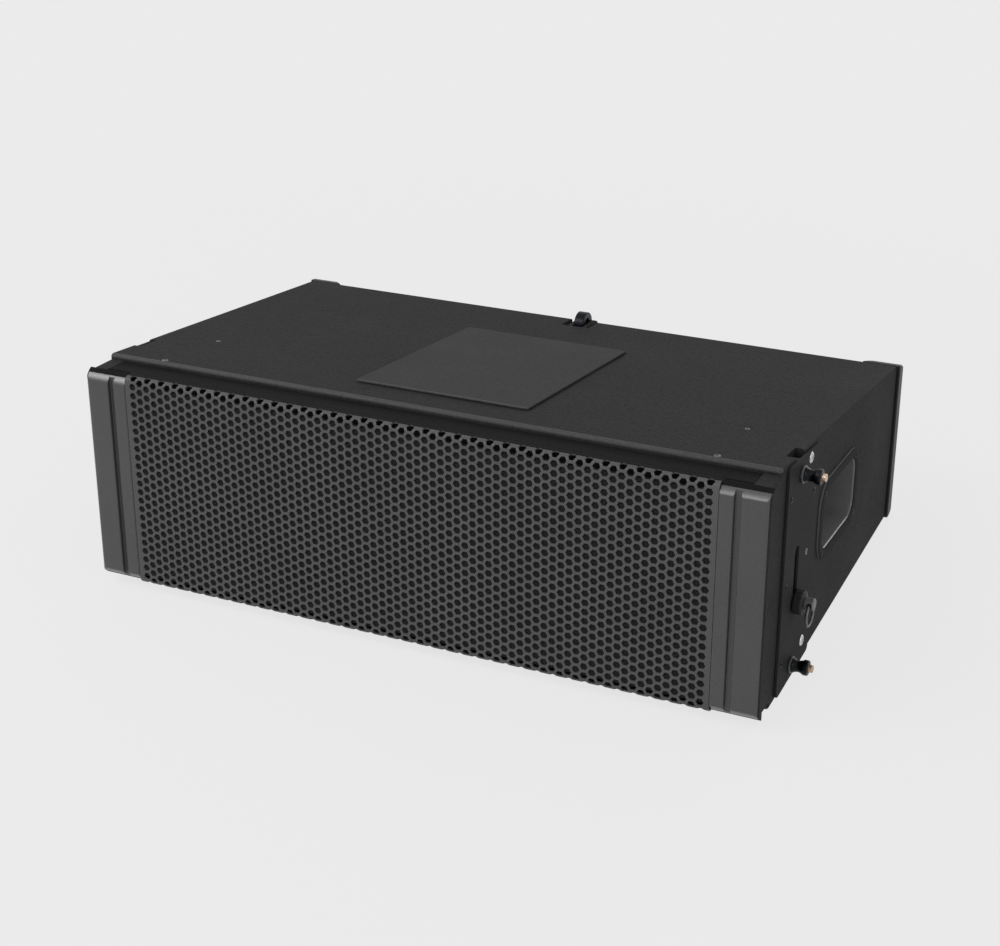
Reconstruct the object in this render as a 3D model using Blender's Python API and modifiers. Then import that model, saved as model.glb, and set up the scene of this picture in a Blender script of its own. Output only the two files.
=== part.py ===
"""Compact line array loudspeaker: wedge cabinet, punched grille, two woofers, a waveguide and pinned rigging.

Modelled in metres with the front facing -Y and +Z up. Every piece is built in the cabinet's own frame, which
has its origin in the middle of the front plane, with y running back and z up from mid-height. One empty
carries that frame to the world, where the origin is the bottom centre of the cabinet.
"""

import math

import bmesh
import bpy
from mathutils import Matrix, Vector

MM = 0.001

# Driving sizes of the cabinet
WIDTH = 780 * MM
FRONT_HEIGHT = 248 * MM
DEPTH = 496 * MM
STEP = 7 * MM
FRONT_FRAME = 42 * MM
TAPER = math.radians(4.75)
SKID = 20 * MM
SIDE_WALL = 18 * MM
WALL = 15 * MM
REAR_INSET = 36 * MM

# Clearances
GAP = 0.3 * MM
RUNNING = 0.3 * MM
SLIDE = 0.5 * MM

# Front trims, grille and foam
TRIM_WIDTH = 51 * MM
TRIM_DEPTH = 12 * MM
TRIM_INNER = 15 * MM
TRIM_GROOVE = 7 * MM
GROOVE_SINK = 5 * MM
EDGE_ROUND = 8 * MM
SHEET = 1.5 * MM
GRILLE_SETBACK = 1 * MM
GRILLE_FLANGE = 6 * MM
HOLE_PITCH = 34 * MM
HOLE_FLAT = 29 * MM
FOAM = 6 * MM
RAIL_HEIGHT = 16 * MM

# Side rigging
RIG_Y = 100 * MM
PIN_Z = 105 * MM
PIN_R = 5 * MM
RIG_PLATE = 3 * MM
RIG_PLATE_FRONT = 58 * MM
RIG_PLATE_REAR = 162 * MM
BAR_WIDTH = 30 * MM
BAR_THICK = 9 * MM
STACK_GAP = 2 * MM
KNOB_Z = -33 * MM
KNOB_R = 13 * MM
SHANK_R = 6 * MM
STUD_R = 4 * MM
RING_R = 12 * MM
RING_WIRE = 1.4 * MM
BUTTON_R = 4 * MM
BUTTON_TRAVEL = 3 * MM

# Rear rigging
REAR_TRAVEL = 94 * MM
REAR_BAR_THICK = 12 * MM
REAR_BAR_WIDTH = 30 * MM
REAR_PIN_R = 4 * MM
CHEEK = 5.5 * MM

# Handles, cover and connectors
HANDLE_FRONT = 190 * MM
HANDLE_REAR = 312 * MM
HANDLE_LOW = -22 * MM
HANDLE_HIGH = 50 * MM
HANDLE_ROUND = 20 * MM
CUP_DEPTH = 50 * MM
CUP_WALL = 3 * MM
COVER_WIDTH = 202 * MM
COVER_FRONT = 88 * MM
COVER_REAR = 358 * MM
COVER_THICK = 3 * MM
SOCKET_R = 12.2 * MM
SOCKET_BORE = 11 * MM
SOCKET_SPACING = 56 * MM
CONNECTOR_X = 160 * MM

# Drivers
WOOFER_X = 213 * MM
WOOFER_R = 104 * MM
FRAME_LIP = 4 * MM
FRAME_RIM = 18 * MM
FRAME_WALL = 4 * MM
FRAME_DEPTH = 64 * MM
FRAME_FLOOR_R = 64 * MM
SURROUND_ROLL = 12.2 * MM
SURROUND_LIP = 5 * MM
MAGNET_R = 60 * MM
MAGNET_THICK = 20 * MM
YOKE_THICK = 8 * MM
COIL_R = 26.9 * MM
COIL_WALL = 1.3 * MM
COIL_LENGTH = 38 * MM
CONE_DEPTH = 41 * MM
SPIDER_DEPTH = 46 * MM
HORN_MOUTH_X = 80 * MM
HORN_SLOT_X = 13 * MM
HORN_THROAT = 12 * MM
HORN_WALL = 4 * MM
HORN_FLANGE = 12 * MM
HORN_SLOT_Y = 95 * MM
HORN_END_Y = 165 * MM
DRIVER_R = 54 * MM
DRIVER_DEPTH = 42 * MM
BOARD_WIDE = 140 * MM
BOARD_DEEP = 100 * MM
BOARD_X = -120 * MM
BOARD_Y = 330 * MM

# Sizes that follow from them
BOX_HEIGHT = FRONT_HEIGHT + 2 * STEP
BODY_REAR = DEPTH - SKID
HALF = WIDTH / 2
SIDE_OUT = HALF - RIG_PLATE - GAP
SIDE_IN = SIDE_OUT - SIDE_WALL
TRIM_EDGE = HALF - TRIM_WIDTH
RAIL_FRONT = TRIM_DEPTH + GAP
BAFFLE_FRONT = FRONT_FRAME + 6 * MM
REAR_FACE = BODY_REAR - REAR_INSET
GROOVE_DEPTH = BAR_THICK + 2 * SLIDE
GROOVE_WIDTH = BAR_WIDTH + 2 * SLIDE
LINK_TRAVEL = BOX_HEIGHT + STACK_GAP - 2 * PIN_Z
REAR_PIN_Y = BODY_REAR - 9 * MM
NOTCH_FRONT = REAR_FACE + 2 * MM
NOTCH_HALF = REAR_BAR_THICK / 2 + CHEEK + 6 * MM
DRIVER_SEAT_Y = HORN_END_Y + 5 * MM
CONE_R = WOOFER_R - FRAME_RIM - 8 * MM
HORN_MOUTH_Z = FRONT_HEIGHT / 2 - RAIL_HEIGHT - HORN_FLANGE
HORN_SLOT_Z = HORN_MOUTH_Z - 6 * MM

PARTS = "line_array_speaker"
CUTTERS = "cutters"
TURN_STEPS = 16


def roof(y):
    """Height of the outer top face above mid-height at a depth behind the front."""
    return BOX_HEIGHT / 2 - (y - FRONT_FRAME) * math.tan(TAPER)


REAR_PIN_Z = roof(REAR_PIN_Y) - WALL - 14 * MM


# Scene set-up


def clear_scene():
    for obj in list(bpy.data.objects):
        bpy.data.objects.remove(obj, do_unlink=True)


def make_collection(name, hidden=False):
    collection = bpy.data.collections.new(name)
    bpy.context.scene.collection.children.link(collection)
    collection.hide_render = hidden
    return collection


def linear(channel):
    return channel / 12.92 if channel <= 0.04045 else ((channel + 0.055) / 1.055) ** 2.4


def material(name, code, roughness, metallic=0.0):
    """A Principled material from an sRGB colour code, made once."""
    if name in bpy.data.materials:
        return bpy.data.materials[name]
    made = bpy.data.materials.new(name)
    made.use_nodes = True
    shader = made.node_tree.nodes["Principled BSDF"]
    rgb = [linear(int(code[i : i + 2], 16) / 255) for i in (0, 2, 4)]
    shader.inputs["Base Color"].default_value = (*rgb, 1.0)
    shader.inputs["Roughness"].default_value = roughness
    shader.inputs["Metallic"].default_value = metallic
    return made


def cabinet_paint():
    return material("textured cabinet paint", "343538", 0.7)


def trim_paint():
    return material("grey painted aluminium", "54565a", 0.5, 0.2)


def grille_paint():
    return material("powder coated steel", "3c3d40", 0.55, 0.2)


def foam_black():
    return material("open cell foam", "0c0c0d", 0.95)


def plain_wood():
    return material("birch plywood", "a58a62", 0.75)


def steel():
    return material("zinc plated steel", "b4b6b8", 0.35, 0.9)


def black_steel():
    return material("black coated steel", "1f2022", 0.45, 0.4)


def black_plastic():
    return material("black moulded plastic", "18191a", 0.5)


def brass():
    return material("bronze coloured button", "a9754a", 0.35, 0.8)


def paper():
    return material("coated cone paper", "17171a", 0.8)


def rubber():
    return material("rubber", "121213", 0.7)


def ferrite():
    return material("ferrite", "2d2c2e", 0.65)


def cast_alloy():
    return material("cast alloy", "4a4b4e", 0.5, 0.5)


def spider_cloth():
    return material("impregnated cloth", "7c5a2e", 0.9)


def coil_copper():
    return material("copper wire on former", "b56a3c", 0.4, 0.7)


def board_green():
    return material("circuit board with parts", "24452f", 0.6)


# Outlines in two coordinates


def arc(centre, radius, start, end, steps):
    """Points on an arc between two angles in degrees, both ends included."""
    angles = [math.radians(start + (end - start) * i / steps) for i in range(steps + 1)]
    return [(centre[0] + radius * math.cos(a), centre[1] + radius * math.sin(a)) for a in angles]


def circle(u, v, radius, steps=16):
    return arc((u, v), radius, 0, 360 * (steps - 1) / steps, steps - 1)


def slot(u, low, high, radius, steps=6):
    """A vertical slot with round ends about the points (u, low) and (u, high)."""
    return arc((u, high), radius, 0, 180, steps) + arc((u, low), radius, 180, 360, steps)


def rounded(points, radius, corners=None, steps=4):
    """The outline with the given corners (all by default) replaced by arcs."""
    result = []
    count = len(points)
    for i, point in enumerate(points):
        here = Vector(point)
        if corners is not None and i not in corners:
            result.append(tuple(here))
            continue
        before = (Vector(points[i - 1]) - here).normalized()
        after = (Vector(points[(i + 1) % count]) - here).normalized()
        half = before.angle(after) / 2
        reach = radius / math.tan(half)
        middle = here + (before + after).normalized() * radius / math.sin(half)
        start = here + before * reach - middle
        end = here + after * reach - middle
        for k in range(steps + 1):
            turn = start.lerp(end, k / steps).normalized() * radius
            result.append(tuple(middle + turn))
    return result


def rectangle(u0, v0, u1, v1):
    return [(u0, v0), (u1, v0), (u1, v1), (u0, v1)]


# Solids


PLANES = {
    "YZ": Matrix(((0, 0, 1, 0), (1, 0, 0, 0), (0, 1, 0, 0), (0, 0, 0, 1))),
    "XZ": Matrix(((1, 0, 0, 0), (0, 0, -1, 0), (0, 1, 0, 0), (0, 0, 0, 1))),
    "XY": Matrix.Identity(4),
}


def add_object(name, mesh, surface, cutter=False):
    """An object in the cabinet's frame, with its material and collection."""
    obj = bpy.data.objects.new(name, mesh)
    bpy.data.collections[CUTTERS if cutter else PARTS].objects.link(obj)
    obj.parent = bpy.data.objects["cabinet_frame"]
    if cutter:
        obj.hide_render = True
        obj.display_type = "WIRE"
    else:
        mesh.materials.clear()
        mesh.materials.append(surface)
        mesh.shade_smooth()
        mesh.set_sharp_from_angle(angle=math.radians(35))
    return obj


def solid_mesh(source, matrix):
    """The evaluated mesh of a helper object, welded, facing out and moved by the matrix; the helper goes."""
    bpy.context.view_layer.update()
    graph = bpy.context.evaluated_depsgraph_get()
    mesh = bpy.data.meshes.new_from_object(source.evaluated_get(graph))
    bpy.data.objects.remove(source, do_unlink=True)
    work = bmesh.new()
    work.from_mesh(mesh)
    bmesh.ops.remove_doubles(work, verts=work.verts, dist=1e-6)
    bmesh.ops.transform(work, matrix=matrix, verts=work.verts)
    bmesh.ops.recalc_face_normals(work, faces=work.faces)
    if work.calc_volume(signed=True) < 0:
        bmesh.ops.reverse_faces(work, faces=work.faces)
    work.to_mesh(mesh)
    work.free()
    return mesh


def prism_mesh(loops, plane, start, end):
    """A flat outline with holes, extruded along the axis that the plane leaves out."""
    low, high = min(start, end), max(start, end)
    curve = bpy.data.curves.new("outline", "CURVE")
    curve.dimensions = "2D"
    curve.fill_mode = "BOTH"
    curve.extrude = (high - low) / 2
    for loop in loops:
        spline = curve.splines.new("POLY")
        spline.points.add(len(loop) - 1)
        for point, (u, v) in zip(spline.points, loop):
            point.co = (u, v, 0, 1)
        spline.use_cyclic_u = True
    helper = bpy.data.objects.new("outline", curve)
    bpy.context.scene.collection.objects.link(helper)
    middle = (low + high) / 2
    shift = -middle if plane == "XZ" else middle
    return solid_mesh(helper, PLANES[plane] @ Matrix.Translation((0, 0, shift)))


def prism(name, loops, plane, start, end, surface=None):
    return add_object(name, prism_mesh(loops, plane, start, end), surface, surface is None)


def turned_mesh(profile, axis, at, steps=TURN_STEPS):
    """A profile of (radius, height) points turned about an axis; a ring's profile closes on itself."""
    work = bmesh.new()
    verts = [work.verts.new((radius, 0, height)) for radius, height in profile]
    for a, b in zip(verts, verts[1:]):
        work.edges.new((a, b))
    if profile[0][0] > 0:
        work.edges.new((verts[-1], verts[0]))
    mesh = bpy.data.meshes.new("profile")
    work.to_mesh(mesh)
    work.free()
    helper = bpy.data.objects.new("profile", mesh)
    bpy.context.scene.collection.objects.link(helper)
    screw = helper.modifiers.new("turn", "SCREW")
    screw.steps = steps
    screw.render_steps = steps
    screw.use_merge_vertices = True
    screw.merge_threshold = 1e-6
    turn = Vector((0, 0, 1)).rotation_difference(Vector(axis)).to_matrix().to_4x4()
    return solid_mesh(helper, Matrix.Translation(at) @ turn)


def turned(name, profile, axis, at, surface=None, steps=TURN_STEPS):
    return add_object(name, turned_mesh(profile, axis, at, steps), surface, surface is None)


def block_mesh(low, high):
    work = bmesh.new()
    size = Vector(high) - Vector(low)
    matrix = Matrix.Translation((Vector(low) + Vector(high)) / 2) @ Matrix.Diagonal((*size, 1))
    bmesh.ops.create_cube(work, size=1, matrix=matrix)
    mesh = bpy.data.meshes.new("block")
    work.to_mesh(mesh)
    work.free()
    return mesh


def block(name, low, high, surface=None):
    return add_object(name, block_mesh(low, high), surface, surface is None)


def combine(target, other, operation):
    modifier = target.modifiers.new(other.name, "BOOLEAN")
    modifier.operation = operation
    modifier.object = other
    modifier.solver = "EXACT"


def cut(target, *cutters):
    for cutter in cutters:
        combine(target, cutter, "DIFFERENCE")


def join(target, *others):
    for other in others:
        combine(target, other, "UNION")


def keep_inside(target, cutter):
    combine(target, cutter, "INTERSECT")


def origin_at(obj, point):
    """Moves the object's origin to a point of the cabinet's frame, leaving its shape where it is."""
    obj.data.transform(Matrix.Translation(-Vector(point)))
    obj.location = point


def side_name(sign):
    return "right" if sign > 0 else "left"


# Cabinet panels


def side_outline():
    """Side view of the cabinet: low front frame, step up to the box, taper and round rear corners."""
    front, low, rear = RAIL_FRONT, FRONT_HEIGHT / 2, BODY_REAR
    step, tail = roof(FRONT_FRAME), roof(BODY_REAR)
    points = [
        (front, -low),
        (FRONT_FRAME, -low),
        (FRONT_FRAME, -step),
        (rear, -tail),
        (rear, tail),
        (FRONT_FRAME, step),
        (FRONT_FRAME, low),
        (front, low),
    ]
    return rounded(points, 4 * MM, corners=(2, 5), steps=3)


def handle_outline(grow=0.0):
    low = (HANDLE_FRONT - grow, HANDLE_LOW - grow)
    high = (HANDLE_REAR + grow, HANDLE_HIGH + grow)
    return rounded(rectangle(*low, *high), HANDLE_ROUND + grow, steps=4)


def build_side_panel(sign):
    side = side_name(sign)
    loops = [side_outline(), handle_outline()]
    panel = prism(f"{side}_side_panel", loops, "YZ", sign * SIDE_IN, sign * SIDE_OUT, cabinet_paint())
    floor = SIDE_OUT - GROOVE_DEPTH
    tall = BOX_HEIGHT
    groove = prism(
        f"cut_{side}_link_groove",
        [rectangle(RIG_Y - GROOVE_WIDTH / 2, -tall, RIG_Y + GROOVE_WIDTH / 2, tall)],
        "YZ",
        sign * floor,
        sign * (SIDE_OUT + 5 * MM),
    )
    cut(panel, groove)
    for z in (PIN_Z, -PIN_Z):
        hole = circle(RIG_Y, z, PIN_R + RUNNING)
        cut(panel, prism(f"cut_{side}_pin_bore", [hole], "YZ", sign * (SIDE_IN - 5 * MM), sign * HALF))


def panel_outline(up):
    """Side view of the top board (up = 1) or of the bottom board (up = -1)."""
    low_front, low_rear = roof(FRONT_FRAME) - WALL, roof(BODY_REAR) - WALL
    points = [
        (FRONT_FRAME, up * roof(FRONT_FRAME)),
        (FRONT_FRAME, up * low_front),
        (BODY_REAR, up * low_rear),
        (BODY_REAR, up * roof(BODY_REAR)),
    ]
    return rounded(points, 4 * MM, corners=(0,), steps=3)


def build_cover_boards():
    reach = SIDE_IN - GAP
    for name, up in (("top_panel", 1), ("bottom_panel", -1)):
        board = prism(name, [panel_outline(up)], "YZ", -reach, reach, cabinet_paint())
        notch = block(
            f"cut_{name}_notch",
            (-NOTCH_HALF, NOTCH_FRONT, up * roof(BODY_REAR) - 50 * MM),
            (NOTCH_HALF, DEPTH, up * roof(BODY_REAR) + 50 * MM),
        )
        cut(board, notch)


def build_rear_panel():
    reach = SIDE_IN - GAP
    high = roof(REAR_FACE) - WALL - GAP
    window = rectangle(CONNECTOR_X - 50 * MM, -20 * MM, CONNECTOR_X + 50 * MM, 20 * MM)
    loops = [rectangle(-reach, -high, reach, high), window]
    prism("rear_panel", loops, "XZ", REAR_FACE - WALL, REAR_FACE, cabinet_paint())


def build_baffle():
    reach = SIDE_IN - GAP
    high = roof(BAFFLE_FRONT + WALL) - WALL - GAP
    hole_r = WOOFER_R - FRAME_RIM + 7 * MM
    mouth_x, mouth_z = HORN_MOUTH_X + HORN_FLANGE / 2, HORN_MOUTH_Z + HORN_WALL + 1 * MM
    loops = [
        rectangle(-reach, -high, reach, high),
        circle(-WOOFER_X, 0, hole_r, TURN_STEPS),
        circle(WOOFER_X, 0, hole_r, TURN_STEPS),
        rectangle(-mouth_x, -mouth_z, mouth_x, mouth_z),
    ]
    prism("front_baffle", loops, "XZ", BAFFLE_FRONT, BAFFLE_FRONT + WALL, plain_wood())


def build_rails():
    """The two rails of the front frame, each with a rebate that takes the grille's folded edge."""
    top = FRONT_HEIGHT / 2
    sunk = top - SHEET - GAP
    lip = GRILLE_SETBACK + EDGE_ROUND + GRILLE_FLANGE + GAP
    for name, up in (("top_front_rail", 1), ("bottom_front_rail", -1)):
        points = [
            (RAIL_FRONT, up * (top - RAIL_HEIGHT)),
            (FRONT_FRAME - GAP, up * (top - RAIL_HEIGHT)),
            (FRONT_FRAME - GAP, up * top),
            (lip, up * top),
            (lip, up * sunk),
            (RAIL_FRONT, up * sunk),
        ]
        prism(name, [points], "YZ", -(SIDE_IN - GAP), SIDE_IN - GAP, cabinet_paint())


def build_top_cover():
    """Raised access cover on the top board, lying on its slope."""
    points = [
        (COVER_FRONT, roof(COVER_FRONT) + GAP),
        (COVER_REAR, roof(COVER_REAR) + GAP),
        (COVER_REAR, roof(COVER_REAR) + COVER_THICK),
        (COVER_FRONT, roof(COVER_FRONT) + COVER_THICK),
    ]
    cover = prism("top_cover_plate", [points], "YZ", -COVER_WIDTH / 2, COVER_WIDTH / 2, cabinet_paint())
    edge = cover.modifiers.new("eased edges", "BEVEL")
    edge.width = 1.2 * MM
    edge.segments = 2
    edge.limit_method = "ANGLE"


# Front of the cabinet


def trim_outline(sign):
    """Plan view of a trim: a wide outer land, a groove and a narrow inner land."""
    ease = 1.5 * MM
    inner = TRIM_EDGE
    groove_in = inner + TRIM_INNER
    groove_out = groove_in + TRIM_GROOVE
    points = [
        (inner, ease),
        (inner + ease, 0),
        (groove_in - ease, 0),
        (groove_in, ease),
        (groove_in, GROOVE_SINK),
        (groove_out, GROOVE_SINK),
        (groove_out, ease),
        (groove_out + ease, 0),
        (HALF - 2 * ease, 0),
        (HALF, 2 * ease),
        (HALF, TRIM_DEPTH),
        (inner, TRIM_DEPTH),
    ]
    return [(sign * x, y) for x, y in points]


def build_trim(sign):
    side = side_name(sign)
    half = FRONT_HEIGHT / 2
    long = half + 5 * MM
    trim = prism(f"{side}_front_trim", [trim_outline(sign)], "XY", -long, long, trim_paint())
    front, back = -0.5 * MM, TRIM_DEPTH + 10 * MM
    frame = rounded([(front, -half), (back, -half), (back, half), (front, half)], EDGE_ROUND, corners=(0, 3))
    inner, outer = sign * (TRIM_EDGE - 10 * MM), sign * (HALF + 10 * MM)
    keep_inside(trim, prism(f"keep_{side}_trim_ends", [frame], "YZ", inner, outer))


def hexagon(u, v, flat):
    """A hexagon standing on a corner, by its width across the flats."""
    return arc((u, v), flat / math.sqrt(3), 30, 330, 5)


def perforations(reach_x, reach_z):
    """Staggered rows of hexagons that fit whole inside the given half width and half height."""
    row_pitch = HOLE_PITCH * math.sqrt(3) / 2
    tall, wide = HOLE_FLAT / math.sqrt(3), HOLE_FLAT / 2
    rows = int((reach_z - tall) / row_pitch)
    columns = int((reach_x - wide) / HOLE_PITCH)
    holes = []
    for row in range(-rows, rows + 1):
        shift = HOLE_PITCH / 2 if row % 2 else 0
        for column in range(-columns, columns + 1):
            x = column * HOLE_PITCH + shift
            if abs(x) + wide <= reach_x:
                holes.append(hexagon(x, row * row_pitch, HOLE_FLAT))
    return holes


def fold_grille(mesh, flat_half, bend_steps=3):
    """Folds the punched flat sheet back over the top and bottom rails."""
    middle_r = EDGE_ROUND - SHEET / 2
    bend = middle_r * math.pi / 2
    work = bmesh.new()
    work.from_mesh(mesh)
    for up in (1, -1):
        for k in range(bend_steps + 1):
            level = up * (flat_half + bend * k / bend_steps)
            everything = work.verts[:] + work.edges[:] + work.faces[:]
            plane = {"plane_co": (0, 0, level), "plane_no": (0, 0, 1)}
            bmesh.ops.bisect_plane(work, geom=everything, dist=1e-7, **plane)
    for vert in work.verts:
        run = abs(vert.co.z) - flat_half
        if run <= 0:
            continue
        up = math.copysign(1, vert.co.z)
        radius = EDGE_ROUND - (vert.co.y - GRILLE_SETBACK)
        turn = min(run, bend) / middle_r
        vert.co.y = GRILLE_SETBACK + EDGE_ROUND - radius * math.cos(turn) + max(run - bend, 0)
        vert.co.z = up * (flat_half + radius * math.sin(turn))
    work.to_mesh(mesh)
    work.free()


def build_grille():
    flat_half = FRONT_HEIGHT / 2 - EDGE_ROUND
    bend = (EDGE_ROUND - SHEET / 2) * math.pi / 2
    reach_x = TRIM_EDGE - GAP
    reach_z = flat_half + bend + GRILLE_FLANGE
    loops = [rectangle(-reach_x, -reach_z, reach_x, reach_z)]
    loops += perforations(reach_x - 5 * MM, flat_half - 1 * MM)
    mesh = prism_mesh(loops, "XZ", GRILLE_SETBACK, GRILLE_SETBACK + SHEET)
    fold_grille(mesh, flat_half)
    add_object("front_grille", mesh, grille_paint())


def build_foam():
    back = GRILLE_SETBACK + SHEET + GAP
    reach_x = TRIM_EDGE - 2 * MM
    reach_z = FRONT_HEIGHT / 2 - EDGE_ROUND - 2 * MM
    block("grille_foam", (-reach_x, back, -reach_z), (reach_x, back + FOAM, reach_z), foam_black())


# Drivers


def loft_shell(name, sections, surface):
    """A rectangular duct through sections of (half width, half height, y), with thickness outwards."""
    work = bmesh.new()
    loops = []
    for half_x, half_z, y in sections:
        corners = rectangle(-half_x, -half_z, half_x, half_z)
        loops.append([work.verts.new((x, y, z)) for x, z in corners])
    for first, second in zip(loops, loops[1:]):
        for i in range(4):
            j = (i + 1) % 4
            work.faces.new((first[i], first[j], second[j], second[i]))
    bmesh.ops.recalc_face_normals(work, faces=work.faces)
    mesh = bpy.data.meshes.new(name)
    work.to_mesh(mesh)
    work.free()
    duct = add_object(name, mesh, surface)
    wall = duct.modifiers.new("wall", "SOLIDIFY")
    wall.thickness = HORN_WALL
    wall.offset = 1
    wall.use_even_offset = True
    return duct


def build_horn():
    """Waveguide: a narrow slot that flares to the mouth, with a baffle flange and a driver flange."""
    flange_back = BAFFLE_FRONT - GAP
    flange_front = flange_back - 5 * MM
    sections = [
        (HORN_MOUTH_X, HORN_MOUTH_Z, flange_front + 0.5 * MM),
        (HORN_SLOT_X, HORN_SLOT_Z, HORN_SLOT_Y),
        (HORN_THROAT, HORN_THROAT, HORN_END_Y),
    ]
    horn = loft_shell("horn_waveguide", sections, black_plastic())
    rim = HORN_WALL / 2
    in_x, in_z = HORN_MOUTH_X + rim, HORN_MOUTH_Z + rim
    out_x, out_z = HORN_MOUTH_X + HORN_FLANGE, HORN_MOUTH_Z + HORN_FLANGE - 2 * MM
    outside = rounded(rectangle(-out_x, -out_z, out_x, out_z), 6 * MM)
    face_loops = [outside, rectangle(-in_x, -in_z, in_x, in_z)]
    face = prism("add_horn_flange", face_loops, "XZ", flange_front, flange_back)
    neck = HORN_THROAT + rim
    seat_loops = [circle(0, 0, DRIVER_R - 9 * MM, TURN_STEPS), rectangle(-neck, -neck, neck, neck)]
    seat = prism("add_driver_seat", seat_loops, "XZ", HORN_END_Y - 6 * MM, DRIVER_SEAT_Y)
    join(horn, face, seat)


def build_hf_driver():
    start = DRIVER_SEAT_Y + GAP
    neck = DRIVER_R - 9 * MM
    body = [
        (HORN_THROAT, 0),
        (neck, 0),
        (neck, 6 * MM),
        (DRIVER_R - 1 * MM, 8 * MM),
        (DRIVER_R, 10 * MM),
        (DRIVER_R, DRIVER_DEPTH - 2 * MM),
        (DRIVER_R - 2 * MM, DRIVER_DEPTH),
        (HORN_THROAT, DRIVER_DEPTH),
    ]
    turned("hf_driver_body", body, (0, 1, 0), (0, start, 0), ferrite())
    cap_r = DRIVER_R - 12 * MM
    cap = [(0, 0), (cap_r, 0), (cap_r, 12 * MM), (cap_r - 6 * MM, 18 * MM), (0, 20 * MM)]
    turned("hf_driver_cap", cap, (0, 1, 0), (0, start + DRIVER_DEPTH + GAP, 0), black_plastic())


def frame_wall(depth):
    """Inner radius of the woofer frame's conical wall at a depth behind the baffle face."""
    top, low = WOOFER_R - FRAME_RIM + 1 * MM, FRAME_FLOOR_R - FRAME_WALL
    return top + (low - top) * (depth - 2 * MM) / (FRAME_DEPTH - 8 * MM)


def woofer_frame_profile():
    """Half section of the cast frame: flange, conical wall and floor, with depths from the baffle face."""
    rim = WOOFER_R - FRAME_RIM
    floor = FRAME_DEPTH - 6 * MM
    bore = COIL_R + RUNNING + 1 * MM
    return [
        (rim, -FRAME_LIP),
        (WOOFER_R, -FRAME_LIP),
        (WOOFER_R, 0),
        (rim + 5.5 * MM, 0),
        (FRAME_FLOOR_R, FRAME_DEPTH - 4 * MM),
        (FRAME_FLOOR_R - 8 * MM, FRAME_DEPTH),
        (bore, FRAME_DEPTH),
        (bore, floor),
        (frame_wall(floor), floor),
        (frame_wall(2 * MM), 2 * MM),
    ]


def build_woofer_frame(sign, at):
    side = side_name(sign)
    frame = turned(f"{side}_woofer_frame", woofer_frame_profile(), (0, 1, 0), at, cast_alloy())
    for k in range(4):
        angle = math.radians(45 + 90 * k)
        low = (-FRAME_FLOOR_R * 0.4, FRAME_DEPTH * 0.22, FRAME_FLOOR_R * 0.78)
        high = (FRAME_FLOOR_R * 0.4, FRAME_DEPTH * 0.78, WOOFER_R)
        window = block(f"cut_{side}_frame_window", low, high)
        window.data.transform(Matrix.Translation(at) @ Matrix.Rotation(angle, 4, "Y"))
        cut(frame, window)


def roll_profile(inner, outer, face):
    """Half section of the surround: a forward half roll with a glued outer lip."""
    thick = 1.2 * MM
    middle = (inner + outer) / 2
    big = (outer - inner) / 2
    front = arc((middle, face), big, 180, 360, 3)
    back = arc((middle, face), big - thick, 360, 180, 3)
    edge = outer + SURROUND_LIP
    rim = [(edge, face - thick / 2), (edge, face + thick / 2), (outer - thick / 2, face + thick / 2)]
    return [(r, h) for r, h in front] + rim + [(r, h) for r, h in back]


def spider_profile(inner, outer, level):
    """Half section of the spider: an even zigzag of constant thickness."""
    thick = 1 * MM
    wave = 2 * MM
    count = 4
    ridge = []
    for k in range(count + 1):
        height = level + (wave if k % 2 else -wave)
        ridge.append((inner + (outer - inner) * k / count, height))
    return ridge + [(r, h + thick) for r, h in reversed(ridge)]


def dust_cap_profile(rim, neck):
    """Half section of a domed cap whose edge rests on the cone between its rim and neck points."""
    radius, rise, thick, shrink = 30 * MM, 12 * MM, 1.2 * MM, 0.96
    turns = [math.radians(a) for a in (0, 28, 56, 80)]
    edge_r = shrink * radius * math.sin(turns[-1])
    share = (edge_r - neck[0]) / (rim[0] - neck[0])
    seat = neck[1] + share * (rim[1] - neck[1]) - 0.4 * MM
    base = seat - thick + rise * math.cos(turns[-1])
    bow = [(radius * math.sin(t), base - rise * math.cos(t)) for t in turns]
    return bow + [(r * shrink, h + thick) for r, h in reversed(bow)]


def build_woofer(sign):
    side = side_name(sign)
    at = Vector((sign * WOOFER_X, BAFFLE_FRONT - GAP, 0))
    back = (0, 1, 0)
    build_woofer_frame(sign, at)
    rim_face = -FRAME_LIP - 1 * MM
    neck = rim_face + CONE_DEPTH
    neck_r = COIL_R + GAP
    cone = [
        (CONE_R, rim_face - 0.8 * MM),
        (CONE_R, rim_face + 0.8 * MM),
        (neck_r, neck + 2 * MM),
        (neck_r, neck),
    ]
    coil_in = COIL_R - COIL_WALL
    coil_end = neck - 2 * MM + COIL_LENGTH
    coil = [(coil_in, neck - 2 * MM), (COIL_R, neck - 2 * MM), (COIL_R, coil_end), (coil_in, coil_end)]
    moving = (
        turned(f"{side}_woofer_cone", cone, back, at, paper()),
        turned(f"{side}_woofer_dust_cap", dust_cap_profile(cone[0], cone[3]), back, at, paper()),
        turned(f"{side}_voice_coil", coil, back, at, coil_copper()),
    )
    for piece in moving:
        origin_at(piece, at)
    surround = roll_profile(CONE_R + GAP, CONE_R + GAP + SURROUND_ROLL, rim_face)
    turned(f"{side}_woofer_surround", surround, back, at, rubber())
    spider = spider_profile(neck_r, frame_wall(SPIDER_DEPTH) - 2 * MM, SPIDER_DEPTH)
    turned(f"{side}_woofer_spider", spider, back, at, spider_cloth())
    build_woofer_motor(side, at)


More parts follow.
